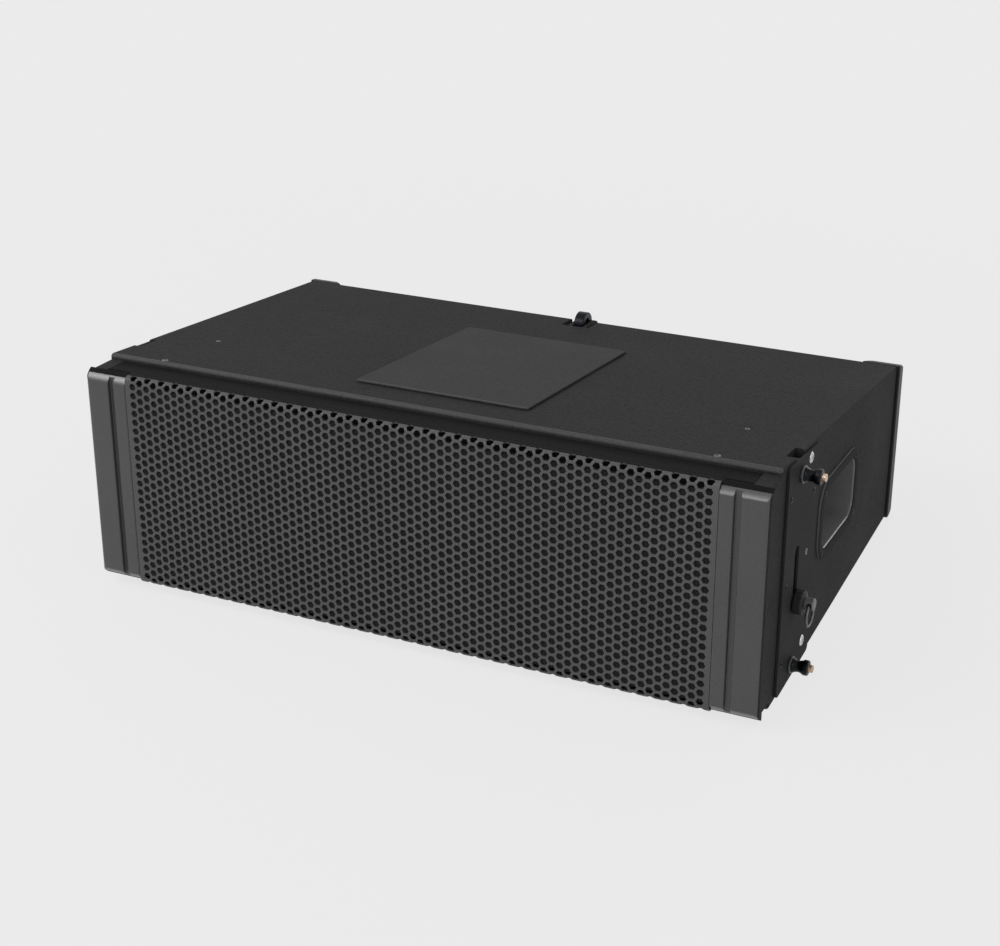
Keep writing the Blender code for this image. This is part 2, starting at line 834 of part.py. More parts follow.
def build_woofer_motor(side, at):
    """Ring magnet behind the frame, and the yoke whose pole stands inside the voice coil."""
    magnet_in = COIL_R + 9 * MM
    start = FRAME_DEPTH + GAP
    end = FRAME_DEPTH + MAGNET_THICK
    magnet = [(magnet_in, start), (MAGNET_R, start), (MAGNET_R, end), (magnet_in, end)]
    turned(f"{side}_woofer_magnet", magnet, (0, 1, 0), at, ferrite())
    pole = COIL_R - COIL_WALL - 1 * MM
    plate = end + GAP
    yoke = [
        (0, FRAME_DEPTH - 8 * MM),
        (pole, FRAME_DEPTH - 8 * MM),
        (pole, plate),
        (MAGNET_R - 5 * MM, plate),
        (MAGNET_R - 5 * MM, plate + YOKE_THICK),
        (0, plate + YOKE_THICK),
    ]
    turned(f"{side}_woofer_yoke", yoke, (0, 1, 0), at, steel())


def build_crossover():
    """Filter board on stand-offs, lying on the sloping bottom board, with its coils and capacitors."""
    thick, legs, leg = 2 * MM, 8 * MM, 4 * MM
    floor = GAP - roof(BOARD_Y) + WALL
    seat = Matrix.Translation((BOARD_X, BOARD_Y, floor)) @ Matrix.Rotation(TAPER, 4, "X")
    top = legs + thick
    half_x, half_y = BOARD_WIDE / 2, BOARD_DEEP / 2
    board = block("crossover_board", (-half_x, -half_y, legs), (half_x, half_y, top), board_green())
    board.data.transform(seat)
    extras = []
    for x in (-half_x + 2 * leg, half_x - 2 * leg):
        for y in (-half_y + 2 * leg, half_y - 2 * leg):
            extras.append(block("add_board_leg", (x - leg, y - leg, 0), (x + leg, y + leg, legs + 1 * MM)))
    coil = [(9 * MM, -1 * MM), (22 * MM, -1 * MM), (22 * MM, 18 * MM), (9 * MM, 18 * MM)]
    for x in (-half_x * 0.6, half_x * 0.15):
        extras.append(turned("add_board_coil", coil, (0, 0, 1), (x, -half_y * 0.36, top), steps=12))
    can = [(0, -1 * MM), (9 * MM, -1 * MM), (9 * MM, 28 * MM), (0, 28 * MM)]
    for x in (-half_x * 0.45, 0, half_x * 0.45):
        extras.append(turned("add_board_can", can, (0, 0, 1), (x, half_y * 0.56, top), steps=10))
    for extra in extras:
        extra.data.transform(seat)
    join(board, *extras)


# Rigging at the sides


def build_rigging_plate(sign):
    side = side_name(sign)
    inset = 4 * MM
    front, rear = RIG_PLATE_FRONT, RIG_PLATE_REAR
    corners = [
        (front, -roof(front) + inset),
        (rear, -roof(rear) + inset),
        (rear, roof(rear) - inset),
        (front, roof(front) - inset),
    ]
    loops = [
        rounded(corners, 6 * MM, steps=3),
        circle(RIG_Y, PIN_Z, PIN_R + RUNNING),
        circle(RIG_Y, -PIN_Z, PIN_R + RUNNING),
        slot(RIG_Y, KNOB_Z, KNOB_Z + LINK_TRAVEL, SHANK_R + SLIDE),
    ]
    prism(f"{side}_rigging_plate", loops, "YZ", sign * (HALF - RIG_PLATE), sign * HALF, black_steel())


def build_link_bar(sign):
    """Link bar: hangs by the top of its long slot on the upper pin and slides up to meet the next cabinet."""
    side = side_name(sign)
    half = BAR_WIDTH / 2
    outline = slot(RIG_Y, KNOB_Z - 6 * MM, PIN_Z, half, 8)
    hang = PIN_Z - RUNNING
    loops = [
        outline,
        slot(RIG_Y, hang - LINK_TRAVEL, hang + RUNNING, PIN_R + SLIDE),
        circle(RIG_Y, KNOB_Z, STUD_R + RUNNING),
    ]
    inner = SIDE_OUT - SLIDE - BAR_THICK
    bar = prism(f"{side}_link_bar", loops, "YZ", sign * inner, sign * (inner + BAR_THICK), black_steel())
    origin_at(bar, (sign * (inner + BAR_THICK / 2), RIG_Y, PIN_Z))


def build_lift_knob(sign):
    """Knob screwed into the link bar, with a cross hole in its nose for the pull ring."""
    side = side_name(sign)
    at = Vector((sign * HALF, RIG_Y, KNOB_Z))
    bar_face = SIDE_OUT - SLIDE - HALF
    nose = 17 * MM
    profile = [
        (0, bar_face - BAR_THICK + 1 * MM),
        (STUD_R, bar_face - BAR_THICK + 1 * MM),
        (STUD_R, bar_face + GAP),
        (SHANK_R, bar_face + GAP),
        (SHANK_R, 1 * MM),
        (KNOB_R - 2 * MM, 1 * MM),
        (KNOB_R, 3 * MM),
        (KNOB_R, 9 * MM),
        (KNOB_R - 3 * MM, 12 * MM),
        (6.5 * MM, 12 * MM),
        (6.5 * MM, nose + 3 * MM),
        (5 * MM, nose + 4.5 * MM),
        (0, nose + 4.5 * MM),
    ]
    knob = turned(f"{side}_lift_knob", profile, (sign, 0, 0), at, black_plastic(), steps=12)
    hole_r = RING_WIRE + 1.8 * MM
    hole = prism(
        f"cut_{side}_ring_hole",
        [circle(sign * (HALF + nose), KNOB_Z, hole_r, 10)],
        "XZ",
        RIG_Y - 20 * MM,
        RIG_Y + 20 * MM,
    )
    cut(knob, hole)
    build_pull_ring(side, Vector((sign * (HALF + nose), RIG_Y, KNOB_Z)))


def build_pull_ring(side, hole):
    """Wire ring hanging through the knob's nose."""
    bpy.ops.mesh.primitive_torus_add(
        major_radius=RING_R,
        minor_radius=RING_WIRE,
        major_segments=16,
        minor_segments=6,
        location=(0, 0, 0),
        rotation=(0, 0, 0),
    )
    helper = bpy.context.object
    drop = RING_R - 0.5 * MM
    upright = Matrix.Translation(hole - Vector((0, 0, drop))) @ Matrix.Rotation(math.pi / 2, 4, "Y")
    ring = add_object(f"{side}_pull_ring", solid_mesh(helper, upright), steel())
    origin_at(ring, hole)


def build_pin(name, face, direction, radius, inside):
    """Quick-release pin with a push button: shaft, collar, waisted grip and a bore for the button."""
    collar, grip, length = radius + 4 * MM, radius + 3 * MM, 20 * MM
    bore = BUTTON_R + RUNNING
    floor = length - 6 * MM
    profile = [
        (0, -inside),
        (radius - 1 * MM, -inside),
        (radius, -inside + 2 * MM),
        (radius, GAP),
        (collar, GAP),
        (collar, 3 * MM),
        (grip - 0.5 * MM, 3.5 * MM),
        (grip - 2 * MM, 10 * MM),
        (grip, 15 * MM),
        (grip, length - 1 * MM),
        (grip - 1 * MM, length),
        (bore, length),
        (bore, floor),
        (0, floor),
    ]
    pin = turned(name, profile, direction, face, black_steel(), steps=12)
    origin_at(pin, face)
    start = floor + BUTTON_TRAVEL + 0.3 * MM
    button = [
        (0, start),
        (BUTTON_R, start),
        (BUTTON_R, length + 3.5 * MM),
        (BUTTON_R - 1 * MM, length + 4.5 * MM),
        (0, length + 4.5 * MM),
    ]
    made = turned(f"{name}_button", button, direction, face, brass(), steps=12)
    origin_at(made, face)


def build_side_rigging(sign):
    side = side_name(sign)
    build_rigging_plate(sign)
    build_link_bar(sign)
    build_lift_knob(sign)
    for level, z in (("upper", PIN_Z), ("lower", -PIN_Z)):
        face = Vector((sign * HALF, RIG_Y, z))
        build_pin(f"{side}_{level}_pin", face, (sign, 0, 0), PIN_R, 19 * MM)


# Rigging, skids and connectors at the rear


def build_rear_bracket():
    """Channel at the rear centre: a back plate and two cheeks with a pivot hole and staggered angle holes."""
    inner = REAR_BAR_THICK / 2 + SLIDE
    outer = inner + CHEEK
    plate_front = REAR_FACE + GAP
    plate_back = plate_front + 4 * MM
    high = roof(REAR_FACE) - WALL - 5 * MM
    bracket = prism(
        "rear_bracket",
        [rounded(rectangle(-34 * MM, -high, 34 * MM, high), 5 * MM, steps=2)],
        "XZ",
        plate_front,
        plate_back,
        black_steel(),
    )
    tip = DEPTH - 8 * MM
    top = roof(tip) + 1 * MM
    corners = [(plate_back - 1 * MM, -top), (tip, -top), (tip, top), (plate_back - 1 * MM, top)]
    holes = [circle(REAR_PIN_Y, REAR_PIN_Z, REAR_PIN_R + RUNNING, 12)]
    for k in range(4):
        y = REAR_PIN_Y + (6 * MM if k % 2 else -6 * MM)
        holes.append(circle(y, -36 * MM - 9 * MM * k, REAR_PIN_R + RUNNING, 8))
    for sign in (1, -1):
        cheek = prism(
            f"add_{side_name(sign)}_cheek",
            [rounded(corners, 10 * MM, corners=(1, 2), steps=3), *holes],
            "YZ",
            sign * inner,
            sign * outer,
        )
        join(bracket, cheek)


def build_rear_link():
    """Rear link: hangs on the rear pin by its long slot; the hole near its tip takes the next cabinet's pin."""
    half = REAR_BAR_WIDTH / 2
    tip = roof(REAR_PIN_Y) + 12 * MM
    hang = REAR_PIN_Z - RUNNING
    low = hang - REAR_TRAVEL
    outline = slot(REAR_PIN_Y, low, tip - half, half, 8)
    loops = [
        outline,
        slot(REAR_PIN_Y, low, hang + RUNNING, REAR_PIN_R + SLIDE),
        circle(REAR_PIN_Y, tip - 11 * MM, REAR_PIN_R + RUNNING, 12),
    ]
    bar = prism("rear_link_bar", loops, "YZ", -REAR_BAR_THICK / 2, REAR_BAR_THICK / 2, black_steel())
    origin_at(bar, (0, REAR_PIN_Y, REAR_PIN_Z))
    face = Vector((REAR_BAR_THICK / 2 + SLIDE + CHEEK, REAR_PIN_Y, REAR_PIN_Z))
    build_pin("rear_pin", face, (1, 0, 0), REAR_PIN_R, 2 * face.x + 3 * MM)


def build_skid(sign):
    """Rear corner skid: a flat foot with a chamfer towards the middle."""
    side = side_name(sign)
    start = BODY_REAR + GAP
    foot, base, ease = 25 * MM, 45 * MM, 4 * MM
    points = [
        (HALF, start),
        (HALF, DEPTH - ease),
        (HALF - ease, DEPTH),
        (HALF - foot, DEPTH),
        (HALF - base, start),
    ]
    high = roof(BODY_REAR) + 5 * MM
    plan = [(sign * x, y) for x, y in points]
    skid = prism(f"{side}_rear_skid", [plan], "XY", -high, high, black_plastic())
    front, back = BODY_REAR - 20 * MM, DEPTH + 0.5 * MM
    side_view = [(front, -roof(front)), (back, -roof(back)), (back, roof(back)), (front, roof(front))]
    ends = prism(
        f"keep_{side}_skid_ends",
        [rounded(side_view, 16 * MM, corners=(1, 2), steps=5)],
        "YZ",
        sign * (HALF - base - 20 * MM),
        sign * (HALF + 20 * MM),
    )
    keep_inside(skid, ends)


def build_handle(sign):
    """Recessed carrying handle: a flange on the side panel and a deep moulded cup."""
    side = side_name(sign)
    outer, deep = SIDE_OUT + GAP, SIDE_OUT + GAP - CUP_DEPTH
    flange = handle_outline(10 * MM)
    cup = prism(f"{side}_handle_cup", [flange], "YZ", sign * outer, sign * HALF, black_plastic())
    body = prism(f"add_{side}_cup_body", [handle_outline(-GAP)], "YZ", sign * deep, sign * (outer + 1 * MM))
    floor, mouth = sign * (deep + CUP_WALL), sign * (HALF + 10 * MM)
    hollow = prism(f"cut_{side}_cup_hollow", [handle_outline(-CUP_WALL)], "YZ", floor, mouth)
    join(cup, body)
    cut(cup, hollow)


def build_connectors():
    half_x, half_z = 60 * MM, 28 * MM
    face = REAR_FACE + GAP
    xs = [CONNECTOR_X - SOCKET_SPACING / 2, CONNECTOR_X + SOCKET_SPACING / 2]
    loops = [rounded(rectangle(CONNECTOR_X - half_x, -half_z, CONNECTOR_X + half_x, half_z), 5 * MM, steps=2)]
    loops += [circle(x, 0, SOCKET_R + GAP) for x in xs]
    prism("connector_plate", loops, "XZ", face, face + 3 * MM, black_steel())
    lip = 3 * MM + GAP
    socket = [
        (0, -26 * MM),
        (SOCKET_R, -26 * MM),
        (SOCKET_R, lip),
        (16 * MM, lip),
        (16 * MM, lip + 2 * MM),
        (SOCKET_BORE, lip + 2 * MM),
        (SOCKET_BORE, -22 * MM),
        (0, -22 * MM),
    ]
    for name, x in zip(("input_socket", "link_socket"), xs):
        turned(name, socket, (0, 1, 0), (x, face, 0), black_plastic(), steps=16)


def main():
    clear_scene()
    make_collection(PARTS)
    make_collection(CUTTERS, hidden=True)
    frame = bpy.data.objects.new("cabinet_frame", None)
    frame.location = (0, -DEPTH / 2, BOX_HEIGHT / 2)
    bpy.data.collections[PARTS].objects.link(frame)
    build_cover_boards()
    build_rear_panel()
    build_baffle()
    build_rails()
    build_top_cover()
    build_grille()
    build_foam()
    build_horn()
    build_hf_driver()
    build_crossover()
    build_rear_bracket()
    build_rear_link()
    build_connectors()
    for sign in (-1, 1):
        build_side_panel(sign)
        build_trim(sign)
        build_woofer(sign)
        build_side_rigging(sign)
        build_handle(sign)
        build_skid(sign)


if __name__ == "__main__":
    main()
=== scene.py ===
"""Finished looks of a compact line array loudspeaker, laid out as a Blender add-on.

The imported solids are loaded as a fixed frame. Each operator makes one piece, or one group of like pieces, in
the cabinet's own frame: x across, y back from the front plane and z up from mid-height, in metres. PLACE then
carries the mesh to the world, so every finished object sits at the origin.
"""

import math

import bmesh
import bpy
from mathutils import Matrix, Vector


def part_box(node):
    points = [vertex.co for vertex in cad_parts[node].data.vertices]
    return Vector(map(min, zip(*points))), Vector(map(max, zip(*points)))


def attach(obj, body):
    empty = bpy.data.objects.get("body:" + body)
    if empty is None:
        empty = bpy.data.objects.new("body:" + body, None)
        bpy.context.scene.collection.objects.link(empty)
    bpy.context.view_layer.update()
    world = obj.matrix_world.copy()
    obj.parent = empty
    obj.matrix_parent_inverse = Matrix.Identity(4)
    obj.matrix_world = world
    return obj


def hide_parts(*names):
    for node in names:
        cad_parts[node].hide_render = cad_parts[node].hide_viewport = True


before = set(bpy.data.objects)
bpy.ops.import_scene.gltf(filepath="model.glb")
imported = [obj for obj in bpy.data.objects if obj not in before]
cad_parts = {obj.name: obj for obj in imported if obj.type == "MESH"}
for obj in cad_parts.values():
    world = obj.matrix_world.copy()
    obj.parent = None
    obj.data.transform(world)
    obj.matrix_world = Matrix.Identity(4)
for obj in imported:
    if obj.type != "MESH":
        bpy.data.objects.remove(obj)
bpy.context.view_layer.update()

bl_info = {
    "name": "Line Array Loudspeaker",
    "version": (1, 0, 0),
    "blender": (4, 5, 0),
    "location": "View3D > Sidebar > Loudspeaker",
    "description": "Builds the finished pieces of a line array loudspeaker around its packed solids",
    "category": "Object",
}

MM = 0.001
SIDES = (("left", -1), ("right", 1))

# The cabinet's frame and its main sizes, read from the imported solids
TRIM_LOW, TRIM_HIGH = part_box("right_front_trim")
PLACE = Matrix.Translation((0, TRIM_LOW.y, (TRIM_LOW.z + TRIM_HIGH.z) / 2))
UNPLACE = PLACE.inverted()


def local_box(node):
    """Lowest and highest corner of a solid in the cabinet's frame."""
    low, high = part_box(node)
    return UNPLACE @ low, UNPLACE @ high


HALF = TRIM_HIGH.x
TRIM_EDGE = TRIM_LOW.x
FRONT_HALF = (TRIM_HIGH.z - TRIM_LOW.z) / 2
SIDE_LOW, SIDE_HIGH = local_box("right_side_panel")
SIDE_IN, SIDE_OUT = SIDE_LOW.x, SIDE_HIGH.x
BODY_FRONT, BODY_REAR = SIDE_LOW.y, SIDE_HIGH.y
STEP_Y = local_box("top_panel")[0].y
BOX_HALF = SIDE_HIGH.z

# Sizes that several solids share, as their source has them
TAPER = math.radians(4.75)
WALL = 15 * MM
RIG_Y = 100 * MM
PIN_Z = 105 * MM
PIN_BORE = 5.3 * MM
KNOB_Z = -33 * MM
LINK_TRAVEL = 54 * MM
LINK_HALF = 15 * MM
HANDLE_LOW, HANDLE_HIGH = Vector((190, -22)) * MM, Vector((312, 50)) * MM
HANDLE_ROUND = 20 * MM
REAR_PIN = Vector((12 * MM, 467 * MM, local_box("rear_pin")[0].z + 8 * MM))
REAR_TRAVEL = 94 * MM
REAR_HOLE = 4.3 * MM

# Sizes of the surface work: the gap that keeps faces apart, how far a cutter runs past what it cuts, the
# rounding of the box's front edges, and the angle past which an edge of a sheet or screw stays sharp
GAP = 0.3 * MM
PAST = 10 * MM
FRONT_ROUND = 4 * MM
SHARP = math.radians(40)


def roof(y):
    """Height of the outer top face above mid-height at a depth behind the front."""
    return BOX_HALF - (y - STEP_Y) * math.tan(TAPER)


# Colours and materials


def linear(code):
    """Linear RGBA of an sRGB hex code."""
    channels = [int(code[i : i + 2], 16) / 255 for i in (0, 2, 4)]
    return tuple(c / 12.92 if c <= 0.04045 else ((c + 0.055) / 1.055) ** 2.4 for c in channels) + (1.0,)


def feed(tree, node, inputs):
    """Sets inputs of a node, each to a value, to a socket or to the node whose first output feeds it."""
    for key, value in inputs.items():
        if isinstance(value, bpy.types.Node):
            value = value.outputs[0]
        if isinstance(value, bpy.types.NodeSocket):
            tree.links.new(value, node.inputs[key])
        else:
            node.inputs[key].default_value = value
    return node


def add(tree, kind, inputs=None, **settings):
    """A new node of one kind with its settings and its inputs."""
    node = tree.nodes.new(kind)
    for key, value in settings.items():
        setattr(node, key, value)
    return feed(tree, node, inputs or {})


def per_metre(size_mm):
    """Texture scale whose features are about this many millimetres apart."""
    return 1000.0 / size_mm


# The range that most of a noise texture's values keep to
NOISE_LOW, NOISE_HIGH = 0.3, 0.7


def finished(tree, tones, share, height, bump_mm, strength, gloss, rough, sheen=0.5, metallic=0.0):
    """Feeds the shader: a mix of two tones, a bump of a real height and a gloss between two roughnesses."""
    dark, light = map(linear, tones)
    uneven = {0: gloss, 1: NOISE_LOW, 2: NOISE_HIGH, 3: rough[0], 4: rough[1]}
    relief = {"Height": height, "Distance": bump_mm * MM, "Strength": strength}
    inputs = {
        "Base Color": add(tree, "ShaderNodeMixRGB", {0: share, 1: dark, 2: light}),
        "Roughness": add(tree, "ShaderNodeMapRange", uneven),
        "Normal": add(tree, "ShaderNodeBump", relief),
        "Specular IOR Level": sheen,
        "Metallic": metallic,
    }
    feed(tree, tree.nodes["Principled BSDF"], inputs)


def grained(tree, dark, light, grain_mm, bump_mm, rough, sheen=0.5, metallic=0.0):
    """A coat or moulding with a fine grain: clouded colour, uneven gloss and a bump of the grain's size."""
    cloud_mm, drop_mm = 90, 1.6 * grain_mm
    place = add(tree, "ShaderNodeTexCoord").outputs["Object"]
    cloud = add(tree, "ShaderNodeTexNoise", {"Vector": place, "Scale": per_metre(cloud_mm), "Detail": 3.0})
    grain = add(tree, "ShaderNodeTexNoise", {"Vector": place, "Scale": per_metre(grain_mm), "Detail": 2.0})
    spread = {"Vector": place, "Scale": per_metre(drop_mm)}
    drops = add(tree, "ShaderNodeTexVoronoi", spread, feature="SMOOTH_F1")
    relief = add(tree, "ShaderNodeMath", {0: grain, 1: drops}, operation="SUBTRACT")
    tint = add(tree, "ShaderNodeMath", {0: relief, 1: cloud}, operation="ADD")
    share = add(tree, "ShaderNodeMapRange", {0: tint, 1: 0.1, 2: 1.1})
    finished(tree, (dark, light), share, relief, bump_mm, 0.8, cloud, rough, sheen, metallic)


def brushed(tree, dark, light, line_mm, stretch, rough):
    """A plated or turned metal: fine lines drawn out along one axis over a slow cloud of tone."""
    cloud_mm, line_depth_mm = 14, 0.05
    place = add(tree, "ShaderNodeTexCoord").outputs["Object"]
    drawn = add(tree, "ShaderNodeMapping", {"Vector": place, "Scale": stretch})
    lines = add(tree, "ShaderNodeTexNoise", {"Vector": drawn, "Scale": per_metre(line_mm), "Detail": 2.0})
    cloud = add(tree, "ShaderNodeTexNoise", {"Vector": place, "Scale": per_metre(cloud_mm), "Detail": 2.0})
    tint = add(tree, "ShaderNodeMath", {0: lines, 1: cloud}, operation="MULTIPLY")
    share = add(tree, "ShaderNodeMapRange", {0: tint, 1: 0.12, 2: 0.4})
    finished(tree, (dark, light), share, lines, line_depth_mm, 0.4, lines, rough, metallic=1.0)


def cellular(tree, dark, light, cell_mm, bump_mm, rough):
    """An open pored body: dark pockets, painted shade in the pores, between thin paler struts."""
    cloud_mm, strut_share = 40, 0.25
    place = add(tree, "ShaderNodeTexCoord").outputs["Object"]
    spread = {"Vector": place, "Scale": per_metre(cell_mm)}
    cells = add(tree, "ShaderNodeTexVoronoi", spread, feature="DISTANCE_TO_EDGE")
    strut = add(tree, "ShaderNodeMapRange", {0: cells, 1: 0.0, 2: strut_share, 3: 1.0, 4: 0.0})
    cloud = add(tree, "ShaderNodeTexNoise", {"Vector": place, "Scale": per_metre(cloud_mm)})
    share = add(tree, "ShaderNodeMath", {0: strut, 1: cloud}, operation="MULTIPLY")
    finished(tree, (dark, light), share, strut, bump_mm, 1.0, cloud, rough)


def banded(tree, dark, light, band_mm, direction, bump_mm, rough, metallic=0.0):
    """A layered, wound or woven body: regular bands across one direction, unsettled by a little noise."""
    speck_mm, waves_per_unit = 2, 20
    place = add(tree, "ShaderNodeTexCoord").outputs["Object"]
    spread = {"Vector": place, "Scale": per_metre(band_mm) / waves_per_unit}
    spread |= {"Distortion": 1.5, "Detail": 2.0, "Detail Scale": 3.0}
    wave = add(tree, "ShaderNodeTexWave", spread, wave_type="BANDS", bands_direction=direction)
    waves = wave.outputs["Fac"]
    speck = add(tree, "ShaderNodeTexNoise", {"Vector": place, "Scale": per_metre(speck_mm), "Detail": 3.0})
    share = add(tree, "ShaderNodeMath", {0: waves, 1: speck}, operation="MULTIPLY")
    finished(tree, (dark, light), share, waves, bump_mm, 0.5, speck, rough, metallic=metallic)


# Each finish by name: the function that makes its nodes and the values that tell it from the others
FINISHES = {
    # Sprayed and left rough: a dull dark grey with a pebbled grain of about 2 mm that breaks up highlights
    "sprayed polyurea paint": (grained, "2a2a2a", "383838", 2.0, 0.3, (0.55, 0.7), 0.02),
    # Rolled on twice: the cover has the same paint, a shade paler and with a finer grain
    "rolled polyurea paint": (grained, "323232", "404040", 1.5, 0.2, (0.5, 0.65), 0.03),
    # The same paint, smoother and paler: a painted highlight as a pale line along the box's and the cover's
    # front edges
    "polyurea paint with painted highlight": (grained, "383838", "464646", 2.0, 0.1, (0.4, 0.55), 0.2),
    # Smoother and nearly black: the rails' own paint, also laid as painted shade on the grille's fold and the
    # trims' ends, like a shadow line
    "black rolled paint": (grained, "161616", "202020", 1.4, 0.15, (0.5, 0.65), 0.03),
    # Half gloss powder on extruded aluminium: dark grey with a fine even peel and bright rounded ends
    "grey powder coat": (grained, "393939", "434343", 1.0, 0.02, (0.24, 0.3), 0.6),
    # Satin powder on punched steel: a paler grey than the trims', with the same fine peel
    "satin powder coat": (grained, "4d4d4d", "585858", 1.2, 0.03, (0.35, 0.45), 0.15),
    # Black powder on rigging steel: low sheen, slightly uneven
    "black powder coat": (grained, "2b2b2b", "373737", 1.0, 0.06, (0.55, 0.7), 0.02),
    # Reticulated polyester foam: black pockets of 2 mm, painted shade in its pores, between dark struts
    "reticulated foam": (cellular, "050506", "1c1c1e", 2.2, 0.6, (0.95, 0.95)),
    # Glass filled nylon from a spark eroded mould: black with a fine even dull grain
    "moulded black nylon": (grained, "151515", "202020", 0.8, 0.06, (0.42, 0.58), 0.3),
    # ABS from an etched mould: as dull and dark as the paint round it
    "grained black ABS": (grained, "2a2a2a", "363636", 0.8, 0.06, (0.65, 0.78), 0.02),
    # ABS from a polished mould: smooth mid grey, paler than the paint round it as painted light in the recess,
    # so its curved walls show bright strokes
    "polished ABS paled as painted light": (grained, "5e5e5e", "6a6a6a", 1.0, 0.02, (0.24, 0.32)),
    # Bright zinc plate: white metal with faint drawing lines
    "zinc plated steel": (brushed, "b4b4b4", "dadada", 0.5, (1, 1, 6), (0.24, 0.38)),
    # Worn zinc: the same plate gone grey and dull from handling
    "worn zinc plate": (brushed, "5a5a5a", "7e7e7e", 0.5, (1, 1, 6), (0.38, 0.52)),
    # Oiled black oxide: nearly black metal that still glints on its edges
    "black oxide steel": (brushed, "17181a", "2c2d30", 0.5, (1, 1, 6), (0.3, 0.45)),
    # Pale bronze anodising on turned aluminium: warm satin metal with turning lines
    "bronze anodised aluminium": (brushed, "a08670", "d9c2ac", 0.3, (6, 1, 1), (0.26, 0.4)),
    # Bare birch plywood: pale bands of veneer about 1.4 mm thick
    "birch plywood": (banded, "7d6440", "b99b6c", 1.4, "Y", 0.1, (0.6, 0.8)),
    # Pressed and coated paper: dull black with fibres
    "coated paper pulp": (grained, "0e0e10", "1c1c1f", 1.2, 0.2, (0.7, 0.85)),
    # Moulded nitrile: smooth dull black
    "nitrile rubber": (grained, "0c0c0d", "161617", 2.5, 0.05, (0.55, 0.7)),
    # Cotton dipped in resin: amber threads about 0.6 mm apart
    "resin dipped cotton": (banded, "54391a", "8f6a38", 0.6, "DIAGONAL", 0.2, (0.75, 0.9)),
    # Enamelled copper wound on a former: orange turns of 0.4 mm
    "enamelled copper wire": (banded, "7c4121", "c9824e", 0.4, "Y", 0.2, (0.3, 0.45), 0.8),
    # Pressed and fired ferrite: dark grey stone with a ground face
    "fired ferrite": (grained, "242325", "343335", 1.5, 0.1, (0.55, 0.7)),
    # Sand blasted die casting: mid grey, matt, with a fine grit
    "die cast aluminium": (grained, "46474a", "5b5c60", 0.7, 0.08, (0.4, 0.55), 0.5, 0.7),
    # Glass fibre laminate under solder mask: green with a faint weave
    "solder masked laminate": (banded, "16301f", "2c5439", 1.0, "X", 0.03, (0.35, 0.5)),
}


def finish(name):
    """The material of that name, made on first use."""
    if name in bpy.data.materials:
        return bpy.data.materials[name]
    made = bpy.data.materials.new(name)
    made.use_nodes = True
    maker, *values = FINISHES[name]
    maker(made.node_tree, *values)
    return made


# Outlines in two coordinates


def mm(points):
    """Points given in millimetres, in metres."""
    return [tuple(value * MM for value in point) for point in points]


def arc(centre, radius, start, end, steps):
    """Points on an arc between two angles in degrees, both ends included."""
    angles = [math.radians(start + (end - start) * i / steps) for i in range(steps + 1)]
    return [(centre[0] + radius * math.cos(a), centre[1] + radius * math.sin(a)) for a in angles]


def circle(u, v, radius, steps=40):
    return arc((u, v), radius, 0, 360 * (steps - 1) / steps, steps - 1)


def upright_slot(u, low, high, radius, steps=16):
    return arc((u, high), radius, 0, 180, steps) + arc((u, low), radius, 180, 360, steps)


def rectangle(u0, v0, u1, v1):
    return [(u0, v0), (u1, v0), (u1, v1), (u0, v1)]


def mirrored(points):
    """Points of the upper half of an outline, after the same points below mid-height in the other order."""
    return [(u, -v) for u, v in reversed(points)] + points


def rounded(points, radii, steps=6):
    """The outline with arcs for corners; radii is one radius or a radius for each corner's index."""
    result = []
    for i, point in enumerate(points):
        here = Vector(point)
        radius = radii.get(i, 0) if isinstance(radii, dict) else radii
        if not radius:
            result.append(tuple(here))
            continue
        before = (Vector(points[i - 1]) - here).normalized()
        after = (Vector(points[(i + 1) % len(points)]) - here).normalized()
        half = before.angle(after) / 2
        middle = here + (before + after).normalized() * radius / math.sin(half)
        start = here + before * radius / math.tan(half) - middle
        end = here + after * radius / math.tan(half) - middle
        for k in range(steps + 1):
            result.append(tuple(middle + start.slerp(end, k / steps) * radius))
    return result


# Meshes

PLANES = {
    "YZ": Matrix(((0, 0, 1, 0), (1, 0, 0, 0), (0, 1, 0, 0), (0, 0, 0, 1))),
    "XZ": Matrix(((1, 0, 0, 0), (0, 0, -1, 0), (0, 1, 0, 0), (0, 0, 0, 1))),
    "XY": Matrix.Identity(4),
}
WELD = 1e-6


def mesh_of(work):
    """A mesh from bmesh work, welded and facing out."""
    bmesh.ops.remove_doubles(work, verts=work.verts, dist=WELD)
    bmesh.ops.dissolve_degenerate(work, edges=work.edges, dist=WELD / 10)
    bmesh.ops.recalc_face_normals(work, faces=work.faces)
    if work.calc_volume(signed=True) < 0:
        bmesh.ops.reverse_faces(work, faces=work.faces)
    mesh = bpy.data.meshes.new("piece")
    work.to_mesh(mesh)
    work.free()
    return mesh


def helper(data, name="helper"):
    obj = bpy.data.objects.new(name, data)
    bpy.context.scene.collection.objects.link(obj)
    return obj


def evaluated(obj):
    """The plain mesh that an object's modifiers give; the object goes."""
    bpy.context.view_layer.update()
    graph = bpy.context.evaluated_depsgraph_get()
    mesh = bpy.data.meshes.new_from_object(obj.evaluated_get(graph))
    bpy.data.objects.remove(obj, do_unlink=True)
    return mesh


